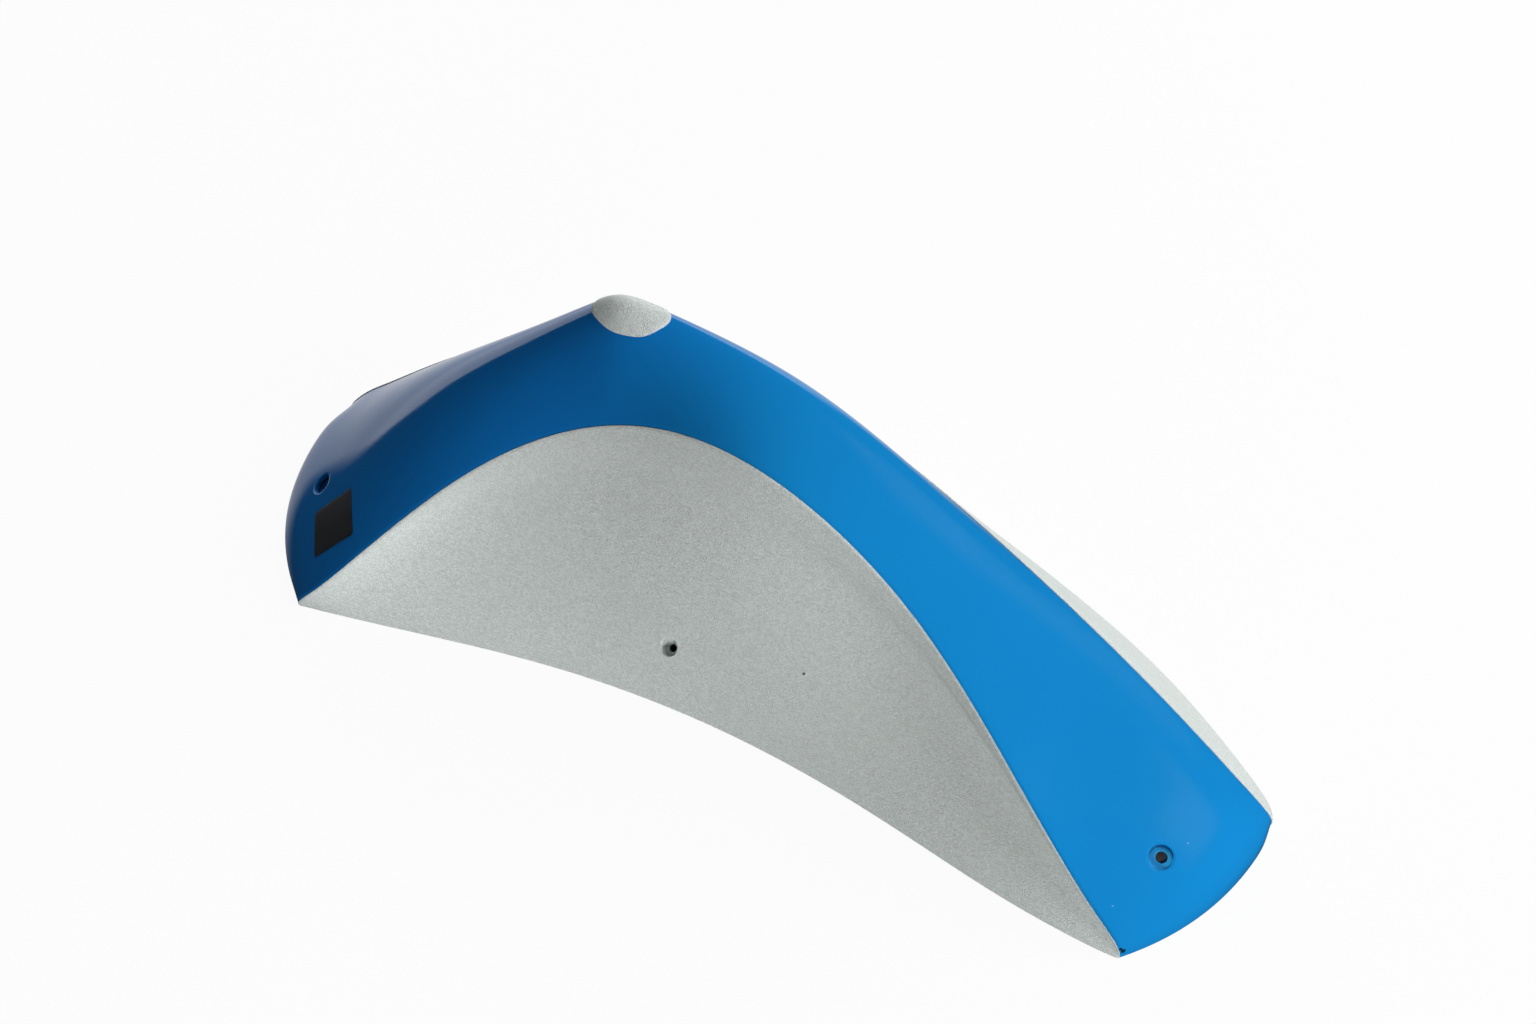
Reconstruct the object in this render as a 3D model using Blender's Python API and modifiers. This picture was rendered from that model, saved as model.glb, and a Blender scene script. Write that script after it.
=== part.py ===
"""A screw-on pinch climbing hold: a hollow glass-fibre shell that is open at its back.

Metres, +Z up. The hold lies with its open back on the wall plane z = 0, its length along X
and its steep front face towards -Y. Five guide lines run from the left end to the right end
and shape the outside: front foot, front edge, knee, back edge and back foot. A station q
goes from -1 at the left end to 1 at the right end. A share goes from 0 to 1 across a
surface: up the front face, over the blue band, and down the back face.
"""

import math

import bmesh
import bpy
import numpy as np
from mathutils import Vector

# Guide lines: each has a largest size, and its shape as shares of that size at nine equal
# steps of q from the left end to the right end
# How far the foot of the front face bows in from the straight line between its ends
FRONT_FOOT_BOW = 0.031
FRONT_FOOT_BOW_SHAPE = (0, 0.113, 0.452, 0.871, 1, 0.71, 0.226, 0, 0)
# How far the front edge stands back from the front foot
FRONT_EDGE_SETBACK = 0.0795
FRONT_EDGE_SETBACK_SHAPE = (0, 0.05, 0.711, 1, 0.855, 0.704, 0.365, 0.094, 0)
# Height of the front edge
FRONT_EDGE_HEIGHT = 0.154
FRONT_EDGE_HEIGHT_SHAPE = (0, 0.198, 0.536, 0.864, 1, 0.75, 0.435, 0.153, 0)
# How far back the knee line lies, and its height without the tip
KNEE_REACH = 0.154
KNEE_REACH_SHAPE = (0.331, 0.61, 0.789, 0.958, 1, 0.834, 0.669, 0.442, 0.279)
KNEE_HEIGHT = 0.1605
KNEE_HEIGHT_SHAPE = (0, 0.202, 0.617, 0.903, 1, 0.769, 0.47, 0.274, 0)
# How far back the foot of the back face lies
BACK_FOOT_REACH = 0.2435
BACK_FOOT_REACH_SHAPE = (0.571, 0.723, 0.86, 0.961, 1, 0.881, 0.721, 0.544, 0.429)
# How far the back edge stands in from the back foot, and its height
BACK_EDGE_SETBACK = 0.0785
BACK_EDGE_SETBACK_SHAPE = (0, 0.363, 0.592, 0.777, 1, 0.911, 0.707, 0.357, 0)
BACK_EDGE_HEIGHT = 0.1375
BACK_EDGE_HEIGHT_SHAPE = (0, 0.164, 0.553, 0.891, 1, 0.807, 0.524, 0.244, 0)
# Relief of the front face: a hollow cove, and a rounded lip above it
COVE_DEPTH = 0.012
COVE_DEPTH_SHAPE = (0, 0.167, 0.25, 0.333, 0.5, 0.917, 1, 0.5, 0)
LIP_HEIGHT = 0.0025
LIP_HEIGHT_SHAPE = (0, 0.2, 0.2, 0.2, 0.4, 1, 1, 0.4, 0)
LIP_START = 0.8

# Half length of the front foot, and how far the other lines reach past its ends
FRONT_HALF = 0.250
KNEE_PAST_LEFT = 0.0675
KNEE_PAST_RIGHT = 0.045
BACK_PAST_LEFT = 0.057
BACK_PAST_RIGHT = 0.0515

# The tip is a local rise of the knee line
TIP_STATION = -0.251
TIP_RISE = 0.062
TIP_PUSH = 0.015
TIP_REACH = 0.16
TIP_ROUNDING = 0.03

# How far the band bulges towards its knee line: 1 is a parabola, more is fuller
BAND_FULLNESS = 1.6

# Laminate
WALL = 0.0048
DROP_PER_WALL = 1.4
HOLLOW_FOOT = 0.001
FIT_GAP = 0.0003

# Screw holes, and what stands behind them
END_RECESS_DIAMETER = 0.014
END_RECESS_DEPTH = 0.003
END_BORE_DIAMETER = 0.006
SIDE_RECESS_DIAMETER = 0.009
SIDE_RECESS_DEPTH = 0.009
SIDE_BORE_DIAMETER = 0.0045
CUP_WALL = 0.0035
WASHER_DIAMETER = 0.018
WASHER_BORE = 0.0066
WASHER_THICKNESS = 0.0015
BOSS_DIAMETER = 0.036
SCREW_LEAN = math.radians(28)

# Rough coats of sand and resin
COAT_THICKNESS = 0.001
COAT_LIFT = 0.001
COAT_EDGE = 0.001
COAT_MOUTH_MARGIN = 0.0006
TIP_COAT_CENTRE = (-0.230, 0.50)
TIP_COAT_HALF = (0.0525, 0.25)

# Blank label
LABEL_PLACE = (-0.7333, 0.1608)
LABEL_SIDE = 0.032
LABEL_THICKNESS = 0.0003

# Cutters reach this far past what they cut
REACH = 0.02
TURNED_STEPS = 32

# The sections stand closer together within this many stations of the tip
FINE_REACH = 0.16
# Shares of the faces at which the sections have points
FRONT_SHARES = (0, 0.22, 0.45, 0.65, 0.8, 0.9, 1)
BACK_SHARES = (0, 0.25, 0.5, 0.75, 1)
BAND_STEPS = 12


def even_steps(low, high, steps):
    """Return evenly spaced numbers from low to high."""
    return [low + (high - low) * k / steps for k in range(steps + 1)]


def clear_scene():
    """Remove every object of the open scene."""
    for thing in list(bpy.data.objects):
        bpy.data.objects.remove(thing, do_unlink=True)


def new_collection(name):
    """Return a new collection linked to the scene."""
    collection = bpy.data.collections.new(name)
    bpy.context.scene.collection.children.link(collection)
    return collection


def guide_line(size, shape):
    """Return a function of q: a free-ended cubic spline through evenly spaced knots."""
    heights = size * np.array(shape, float)
    spans = len(heights) - 1
    step = 2 / spans
    inner = spans - 1
    system = 4 * np.eye(inner) + np.eye(inner, k=1) + np.eye(inner, k=-1)
    bend = np.zeros(spans + 1)
    bend[1:-1] = np.linalg.solve(system, np.diff(heights, 2))

    def line(q):
        span = min(max(int((q + 1) / step), 0), spans - 1)
        right = (q + 1) / step - span
        left = 1 - right
        curve = (left ** 3 - left) * bend[span] + (right ** 3 - right) * bend[span + 1]
        return float(left * heights[span] + right * heights[span + 1] + curve)

    return line


front_foot_bow = guide_line(FRONT_FOOT_BOW, FRONT_FOOT_BOW_SHAPE)
front_edge_setback = guide_line(FRONT_EDGE_SETBACK, FRONT_EDGE_SETBACK_SHAPE)
front_edge_height = guide_line(FRONT_EDGE_HEIGHT, FRONT_EDGE_HEIGHT_SHAPE)
knee_reach = guide_line(KNEE_REACH, KNEE_REACH_SHAPE)
knee_height = guide_line(KNEE_HEIGHT, KNEE_HEIGHT_SHAPE)
back_foot_reach = guide_line(BACK_FOOT_REACH, BACK_FOOT_REACH_SHAPE)
back_edge_setback = guide_line(BACK_EDGE_SETBACK, BACK_EDGE_SETBACK_SHAPE)
back_edge_height = guide_line(BACK_EDGE_HEIGHT, BACK_EDGE_HEIGHT_SHAPE)
cove_depth = guide_line(COVE_DEPTH, COVE_DEPTH_SHAPE)
lip_height = guide_line(LIP_HEIGHT, LIP_HEIGHT_SHAPE)


def spacing(q):
    """Return how far along a line the station q is, from -1 to 1, closer at the ends."""
    return 1.5 * q - 0.5 * q ** 3


def swell(q):
    """Return 1 over most of the length, falling to 0 at both ends."""
    return 1 - spacing(q) ** 4


def line_x(left, right, q):
    """Return the x at station q of a line that ends at x = -left and x = right."""
    s = spacing(q)
    lean = math.sin(math.pi * s / 2)
    return 0.5 * s * (left + right + (right - left) * lean)


def guides(q, wall=0.0):
    """Return the five guide points at station q, of the outside or of the hollow inside."""
    drop = DROP_PER_WALL * wall
    tip = swell(q) * math.exp(
        (TIP_ROUNDING - math.hypot(q - TIP_STATION, TIP_ROUNDING)) / TIP_REACH
    )
    front_x = line_x(FRONT_HALF, FRONT_HALF, q)
    knee_x = line_x(FRONT_HALF + KNEE_PAST_LEFT, FRONT_HALF + KNEE_PAST_RIGHT, q)
    back_x = line_x(FRONT_HALF + BACK_PAST_LEFT, FRONT_HALF + BACK_PAST_RIGHT, q)
    front_y = front_foot_bow(q) + wall
    back_y = back_foot_reach(q) - wall
    front_foot = Vector((front_x, front_y, 0))
    front_edge = Vector((front_x, front_y + front_edge_setback(q), front_edge_height(q) - drop))
    knee_y = knee_reach(q) + TIP_PUSH * tip
    knee = Vector((knee_x, knee_y, knee_height(q) + TIP_RISE * tip - drop))
    back_edge = Vector((back_x, back_y - back_edge_setback(q), back_edge_height(q) - drop))
    back_foot = Vector((back_x, back_y, 0))
    if wall:
        front_foot.z = min(0, front_edge.z) - HOLLOW_FOOT
        back_foot.z = min(0, back_edge.z) - HOLLOW_FOOT
    return front_foot, front_edge, knee, back_edge, back_foot


def on_front(q, share, wall=0.0):
    """Return the point of the front face at station q, share 0 at the foot, 1 at the edge."""
    foot, edge, _, _, _ = guides(q, wall)
    point = foot.lerp(edge, share)
    point.y += cove_depth(q) * 6.75 * share ** 2 * (1 - share)
    if share > LIP_START:
        point.y -= lip_height(q) * math.sin(math.pi * (share - LIP_START) / (1 - LIP_START)) ** 2
    return point


def on_band(q, share, wall=0.0):
    """Return the point of the band at station q, share 0 at the front edge, 1 at the back."""
    _, front, knee, back, _ = guides(q, wall)
    fullness = 1 + (BAND_FULLNESS - 1) * swell(q)
    near = (1 - share) ** 2
    middle = 2 * fullness * share * (1 - share)
    far = share ** 2
    return (near * front + middle * knee + far * back) / (near + middle + far)


def on_back(q, share, wall=0.0):
    """Return the point of the back face at station q, share 0 at the edge, 1 at the foot."""
    _, _, _, edge, foot = guides(q, wall)
    return edge.lerp(foot, share)


def normal(surface, q, share):
    """Return the outward normal of a surface, from one short step each way."""
    step = 0.002
    along = surface(q + step, share) - surface(q - step, share)
    across = surface(q, share + step) - surface(q, share - step)
    return along.cross(across).normalized()


def stations():
    """Return the stations of the sections, closer together round the tip."""
    left = TIP_STATION - FINE_REACH
    right = TIP_STATION + FINE_REACH
    before = even_steps(-1, left, 12)
    after = even_steps(right, 1, 18)
    return before[:-1] + even_steps(left, right, 14) + after[1:]


def section(q, wall=0.0):
    """Return the points over the hold at station q, from the front foot to the back foot."""
    front = [on_front(q, share, wall) for share in FRONT_SHARES]
    band = [on_band(q, share, wall) for share in even_steps(0, 1, BAND_STEPS)[1:-1]]
    back = [on_back(q, share, wall) for share in BACK_SHARES]
    return front + band + back


def principled(name, colour, roughness, metallic=0.0, coat=0.0):
    """Return a plain Principled material."""
    material = bpy.data.materials.new(name)
    material.use_nodes = True
    shader = material.node_tree.nodes["Principled BSDF"]
    shader.inputs["Base Color"].default_value = (*colour, 1)
    shader.inputs["Roughness"].default_value = roughness
    shader.inputs["Metallic"].default_value = metallic
    shader.inputs["Coat Weight"].default_value = coat
    return material


def add_mesh(name, mesh, collection, material=None):
    """Finish a bmesh as a smooth-shaded object in a collection, and return the object."""
    data = bpy.data.meshes.new(name)
    mesh.to_mesh(data)
    mesh.free()
    data.shade_smooth()
    data.set_sharp_from_angle(angle=math.radians(40))
    thing = bpy.data.objects.new(name, data)
    collection.objects.link(thing)
    if material:
        data.materials.append(material)
    else:
        thing.display_type = "WIRE"
        thing.hide_render = True
    return thing


def sheet(mesh, rows):
    """Add a surface through rows of points, and return its rows of vertices."""
    known = {}
    grid = []
    for row in rows:
        line = []
        for point in row:
            key = tuple(round(part, 6) for part in point)
            if key not in known:
                known[key] = mesh.verts.new(point)
            line.append(known[key])
        grid.append(line)
    for near, far in zip(grid, grid[1:]):
        for j in range(len(near) - 1):
            for corners in ((near[j], far[j], far[j + 1]), (near[j], far[j + 1], near[j + 1])):
                if len(set(corners)) == 3:
                    mesh.faces.new(corners)
    return grid


def closed_loft(name, wall, floor, collection, material=None):
    """Return the closed solid under the sections, carried straight down to the floor."""
    mesh = bmesh.new()
    grid = sheet(mesh, [section(q, wall) for q in stations()])
    front = [row[0] for row in grid]
    back = [row[-1] for row in reversed(grid)]
    rim = list(dict.fromkeys(front + grid[-1] + back + grid[0][::-1]))
    if floor < 0:
        lower = [mesh.verts.new((vertex.co.x, vertex.co.y, floor)) for vertex in rim]
        for k in range(len(rim)):
            mesh.faces.new((lower[k - 1], lower[k], rim[k], rim[k - 1]))
        rim = lower
    mesh.faces.new(rim[::-1])
    bmesh.ops.recalc_face_normals(mesh, faces=mesh.faces)
    return add_mesh(name, mesh, collection, material)


def turned(name, profile, place, collection, material=None):
    """Return a turned solid: a profile of (radius, height) run down its outer side.

    The place is a pair: the point of height 0, and the axis that the heights follow.
    """
    mesh = bmesh.new()
    points = [mesh.verts.new((radius, 0, height)) for radius, height in profile]
    for upper, lower in zip(points, points[1:]):
        mesh.edges.new((upper, lower))
    if profile[0][0] > 0:
        mesh.edges.new((points[-1], points[0]))
    thing = add_mesh(name, mesh, collection, material)
    origin, axis = place
    thing.location = origin
    thing.rotation_euler = axis.to_track_quat("Z", "Y").to_euler()
    screw = thing.modifiers.new("turn", "SCREW")
    screw.steps = TURNED_STEPS
    screw.render_steps = TURNED_STEPS
    screw.use_merge_vertices = True
    screw.merge_threshold = 0.00001
    screw.use_smooth_shade = True
    return thing


def cut(thing, cutter, operation="DIFFERENCE"):
    """Add a Boolean modifier to an object."""
    boolean = thing.modifiers.new(cutter.name, "BOOLEAN")
    boolean.object = cutter
    boolean.operation = operation
    boolean.solver = "EXACT"


def skin(name, rows, gap, thickness, collection, material):
    """Return a thin solid laid over rows of surface points, with a gap under it."""
    mesh = bmesh.new()
    sheet(mesh, rows)
    thing = add_mesh(name, mesh, collection, material)
    lift = thing.modifiers.new("gap", "DISPLACE")
    lift.strength = gap
    lift.mid_level = 0
    body = thing.modifiers.new("thickness", "SOLIDIFY")
    body.thickness = thickness
    body.offset = 1
    body.use_even_offset = True
    return thing


def screw_place(side):
    """Return the mouth point and the outward axis of the screw hole on one side."""
    forward = Vector((0, -math.sin(SCREW_LEAN), math.cos(SCREW_LEAN)))
    if side == "left":
        q, share = -0.783, 0.38
        return on_band(q, share), normal(on_band, q, share)
    if side == "right":
        return on_band(0.747, 0.31), forward
    if side == "front":
        return on_front(-0.087, 0.225), forward
    return on_back(-0.05, 0.75), Vector((0, -forward.y, forward.z))


SIDES = ("left", "right", "front", "back")


def recess_sizes(side):
    """Return the recess radius, the recess depth and the bore radius of a screw hole.

    The holes in the steep faces are narrower and deeper than those near the ends.
    """
    if side in ("front", "back"):
        return SIDE_RECESS_DIAMETER / 2, SIDE_RECESS_DEPTH, SIDE_BORE_DIAMETER / 2
    return END_RECESS_DIAMETER / 2, END_RECESS_DEPTH, END_BORE_DIAMETER / 2


def make_cutters(collection):
    """Return the hollow, the room for the bosses and, for each side, the screw cutters."""
    shank = WASHER_BORE / 2
    washer = WASHER_DIAMETER / 2 + FIT_GAP
    hollow = closed_loft("hollow", WALL, -REACH, collection)
    boss_room = closed_loft("boss_room", WALL + FIT_GAP, -REACH, collection)
    wall_block = bmesh.new()
    bmesh.ops.create_cube(wall_block, size=1)
    length = 2 * (FRONT_HALF + KNEE_PAST_LEFT + REACH)
    bmesh.ops.scale(wall_block, vec=(length, length, 2 * REACH), verts=wall_block.verts)
    bmesh.ops.translate(wall_block, vec=(0, 0, -REACH), verts=wall_block.verts)
    cut(boss_room, add_mesh("wall_block", wall_block, collection))
    cutters = {"hollow": hollow, "boss_room": boss_room}
    for side in SIDES:
        place = screw_place(side)
        length = place[0].z / place[1].z + 2 * REACH
        recess, depth, bore = recess_sizes(side)
        cup = recess + CUP_WALL
        mouth = recess + COAT_MOUTH_MARGIN
        floor = -depth
        cup_end = floor - CUP_WALL
        washer_top = cup_end - FIT_GAP
        seat = washer_top - WASHER_THICKNESS - FIT_GAP
        cut(hollow, turned(
            f"cup_{side}", ((0, REACH), (cup, REACH), (cup, cup_end), (0, cup_end)),
            place, collection,
        ))
        cutters[f"hole_{side}"] = turned(f"hole_{side}", (
            (0, REACH), (recess, REACH), (recess, floor),
            (bore, floor), (bore, -length), (0, -length),
        ), place, collection)
        cutters[f"pocket_{side}"] = turned(
            f"pocket_{side}",
            ((0, washer_top), (washer, washer_top), (washer, seat), (0, seat)),
            place, collection,
        )
        cutters[f"socket_{side}"] = turned(f"socket_{side}", (
            (0, REACH), (cup + FIT_GAP, REACH), (cup + FIT_GAP, washer_top),
            (washer, washer_top), (washer, seat), (shank, seat),
            (shank, -length), (0, -length),
        ), place, collection)
        cutters[f"mouth_{side}"] = turned(
            f"mouth_{side}", ((0, REACH), (mouth, REACH), (mouth, -REACH), (0, -REACH)),
            place, collection,
        )
    return cutters


def make_shell(cutters, collection):
    """Make the hollow glass-fibre shell with its four moulded screw cups."""
    blue = principled("blue_gelcoat", (0.007, 0.246, 0.631), 0.12, coat=0.5)
    shell = closed_loft("shell", 0, 0, collection, blue)
    cut(shell, cutters["hollow"])
    for side in SIDES:
        cut(shell, cutters[f"pocket_{side}"])
        cut(shell, cutters[f"hole_{side}"])


def make_bosses(cutters, collection):
    """Make the resin posts that back the screw holes and carry the load to the wall."""
    resin = principled("filled_resin", (0.50, 0.44, 0.32), 0.7)
    for side in SIDES:
        place = screw_place(side)
        length = place[0].z / place[1].z + REACH
        radius = BOSS_DIAMETER / 2
        profile = ((0, REACH), (radius, REACH), (radius, -length), (0, -length))
        boss = turned(f"screw_boss_{side}", profile, place, collection, resin)
        cut(boss, cutters["boss_room"], "INTERSECT")
        cut(boss, cutters[f"socket_{side}"])


def make_washers(collection):
    """Make the steel washers that lie under the floors of the screw cups."""
    steel = principled("zinc_steel", (0.60, 0.60, 0.58), 0.35, metallic=1.0)
    outer = WASHER_DIAMETER / 2
    inner = WASHER_BORE / 2
    for side in SIDES:
        _, depth, _ = recess_sizes(side)
        top = -(depth + CUP_WALL + FIT_GAP)
        bottom = top - WASHER_THICKNESS
        profile = ((outer, top), (outer, bottom), (inner, bottom), (inner, top))
        turned(f"screw_washer_{side}", profile, screw_place(side), collection, steel)


def trimmed(points):
    """Return a row of face points, foot first, drawn back from the wall and from the edge."""
    foot = min(COAT_LIFT, 0.5 * (points[1] - points[0]).length)
    edge = min(COAT_EDGE, 0.5 * (points[-1] - points[-2]).length)
    points[0] += foot * (points[1] - points[0]).normalized()
    points[-1] += edge * (points[-2] - points[-1]).normalized()
    return points


def make_coats(cutters, collection):
    """Make the rough grip coats of the front face, the back face and the tip."""
    grey = principled("sand_grip", (0.41, 0.46, 0.44), 0.85)
    inner_stations = stations()[1:-1]
    front_rows = []
    back_rows = []
    for q in inner_stations:
        front_rows.append(trimmed([on_front(q, share) for share in FRONT_SHARES]))
        back_rows.append(trimmed([on_back(q, share) for share in BACK_SHARES[::-1]])[::-1])
    front = skin("front_grip_coat", front_rows, FIT_GAP, COAT_THICKNESS, collection, grey)
    cut(front, cutters["mouth_front"])
    back = skin("back_grip_coat", back_rows, FIT_GAP, COAT_THICKNESS, collection, grey)
    cut(back, cutters["mouth_back"])
    centre_q, centre_share = TIP_COAT_CENTRE
    half_q, half_share = TIP_COAT_HALF
    rings = []
    for turn in even_steps(0, 2 * math.pi, 32):
        spoke = []
        for reach in even_steps(0, 1, 4):
            q = centre_q + half_q * reach * math.cos(turn)
            spoke.append(on_band(q, centre_share - half_share * reach * math.sin(turn)))
        rings.append(spoke)
    skin("tip_grip_coat", rings, FIT_GAP, COAT_THICKNESS, collection, grey)


def drop_on_band(point, direction, q, share):
    """Return the point of the band that a line through a point meets, near (q, share)."""
    step = 0.0005
    for _ in range(6):
        here = on_band(q, share)
        along = (on_band(q + step, share) - here) / step
        across = (on_band(q, share + step) - here) / step
        system = np.array((along, across, -direction)).T
        change = np.linalg.solve(system, np.array(point - here))
        q += float(change[0])
        share += float(change[1])
    return on_band(q, share)


def make_label(collection):
    """Make the blank square label that follows the band near the left end."""
    black = principled("black_film", (0.012, 0.012, 0.013), 0.4)
    q, share = LABEL_PLACE
    centre = on_band(q, share)
    outward = normal(on_band, q, share)
    level = Vector((0, 0, 1)).cross(outward).normalized()
    slope = outward.cross(level)
    rows = []
    for a in even_steps(-0.5, 0.5, 6):
        offsets = [a * level + b * slope for b in even_steps(-0.5, 0.5, 6)]
        rows.append([
            drop_on_band(centre + LABEL_SIDE * offset, outward, q, share) for offset in offsets
        ])
    skin("blank_label", rows, FIT_GAP, LABEL_THICKNESS, collection, black)


def centre_on_origin(collections, pieces):
    """Hang all objects on an empty that brings the middle of the base to the origin."""
    origin = bpy.data.objects.new("hold_origin", None)
    pieces.objects.link(origin)
    for collection in collections:
        for thing in collection.objects:
            if thing != origin:
                thing.parent = origin
    bpy.context.view_layer.update()
    graph = bpy.context.evaluated_depsgraph_get()
    corners = []
    for thing in pieces.objects:
        if thing.type == "MESH":
            solid = thing.evaluated_get(graph)
            corners += [thing.matrix_world @ vertex.co for vertex in solid.data.vertices]
    points = np.array(corners)
    low = points.min(axis=0)
    high = points.max(axis=0)
    origin.location = (-(low[0] + high[0]) / 2, -(low[1] + high[1]) / 2, -low[2])


def main():
    """Build the whole hold."""
    clear_scene()
    pieces = new_collection("pinch_climbing_hold")
    cutting = new_collection("cutters")
    cutters = make_cutters(cutting)
    make_shell(cutters, pieces)
    make_bosses(cutters, pieces)
    make_washers(pieces)
    make_coats(cutters, pieces)
    make_label(pieces)
    centre_on_origin((pieces, cutting), pieces)


main()
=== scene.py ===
"""Looks of a screw-on pinch climbing hold: glossy blue wings, sand grip coats and fixings.

The form of the hold is worked out here once more from the same guide lines as the solids,
with a much finer surface, rounded edges, a rough laminate inside and coats with soft borders.
"""

import logging
import math
from dataclasses import dataclass, field, replace
from enum import Enum
from typing import Callable, ClassVar, Optional, Sequence

import bmesh
import bpy
import numpy as np
from mathutils import Matrix, Vector, noise


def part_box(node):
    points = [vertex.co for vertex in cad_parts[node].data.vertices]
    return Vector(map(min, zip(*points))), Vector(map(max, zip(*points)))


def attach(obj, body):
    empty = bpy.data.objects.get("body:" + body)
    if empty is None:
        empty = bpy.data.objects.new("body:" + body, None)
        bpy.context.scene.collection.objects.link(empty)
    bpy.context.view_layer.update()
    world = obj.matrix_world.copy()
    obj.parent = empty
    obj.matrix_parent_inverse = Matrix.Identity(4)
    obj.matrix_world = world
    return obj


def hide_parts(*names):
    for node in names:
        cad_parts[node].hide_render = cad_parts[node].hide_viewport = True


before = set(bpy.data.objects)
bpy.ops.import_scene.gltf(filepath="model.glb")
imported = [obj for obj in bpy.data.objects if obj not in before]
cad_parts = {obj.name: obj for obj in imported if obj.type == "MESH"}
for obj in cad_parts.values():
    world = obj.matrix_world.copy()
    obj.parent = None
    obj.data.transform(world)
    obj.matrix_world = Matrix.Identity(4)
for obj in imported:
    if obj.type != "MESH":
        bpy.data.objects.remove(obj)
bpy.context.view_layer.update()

BODY = "root"
log = logging.getLogger("pinch_hold")

Colour = tuple[float, float, float]
COVE_SCALE = 27 / 4  # makes the highest point of share squared times (1 - share) come to 1


class Side(Enum):
    """The four screw holes."""

    LEFT = "left"
    RIGHT = "right"
    FRONT = "front"
    BACK = "back"


class Slot(Enum):
    """The record's material slots."""

    GELCOAT = "blue_gelcoat"
    GRIT = "sand_grip"
    FILM = "black_film"
    RESIN = "filled_resin"
    STEEL = "zinc_steel"


@dataclass(frozen=True)
class GuideLine:
    """A line along the hold: a largest size, and shares of it at nine equal steps."""

    size: float
    shape: tuple[float, ...]

    def at(self, q: np.ndarray) -> np.ndarray:
        """Evaluate the free-ended cubic spline through the knots.

        Args:
            q: Stations from -1 to 1.

        Returns:
            The line's value at each station, in metres.
        """
        heights = self.size * np.array(self.shape)
        spans = len(heights) - 1
        inner = spans - 1
        system = 4 * np.eye(inner) + np.eye(inner, k=1) + np.eye(inner, k=-1)
        bend = np.zeros(spans + 1)
        bend[1:-1] = np.linalg.solve(system, np.diff(heights, 2))
        place = (np.asarray(q) + 1) * spans / 2
        span = np.clip(place.astype(int), 0, spans - 1)
        right = place - span
        left = 1 - right
        curve = (left ** 3 - left) * bend[span] + (right ** 3 - right) * bend[span + 1]
        return left * heights[span] + right * heights[span + 1] + curve


def unit(vectors: np.ndarray) -> np.ndarray:
    """Return the vectors at length one."""
    length = np.linalg.norm(vectors, axis=-1, keepdims=True)
    return vectors / np.maximum(length, 1e-12)


def plain(point: Sequence[float]) -> tuple[float, ...]:
    """Return a point as plain numbers."""
    return tuple(float(part) for part in point)


def linked(name: str, data: bpy.types.ID) -> bpy.types.Object:
    """Return a new object of the scene that shows the data."""
    thing = bpy.data.objects.new(name, data)
    bpy.context.scene.collection.objects.link(thing)
    return thing


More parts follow.
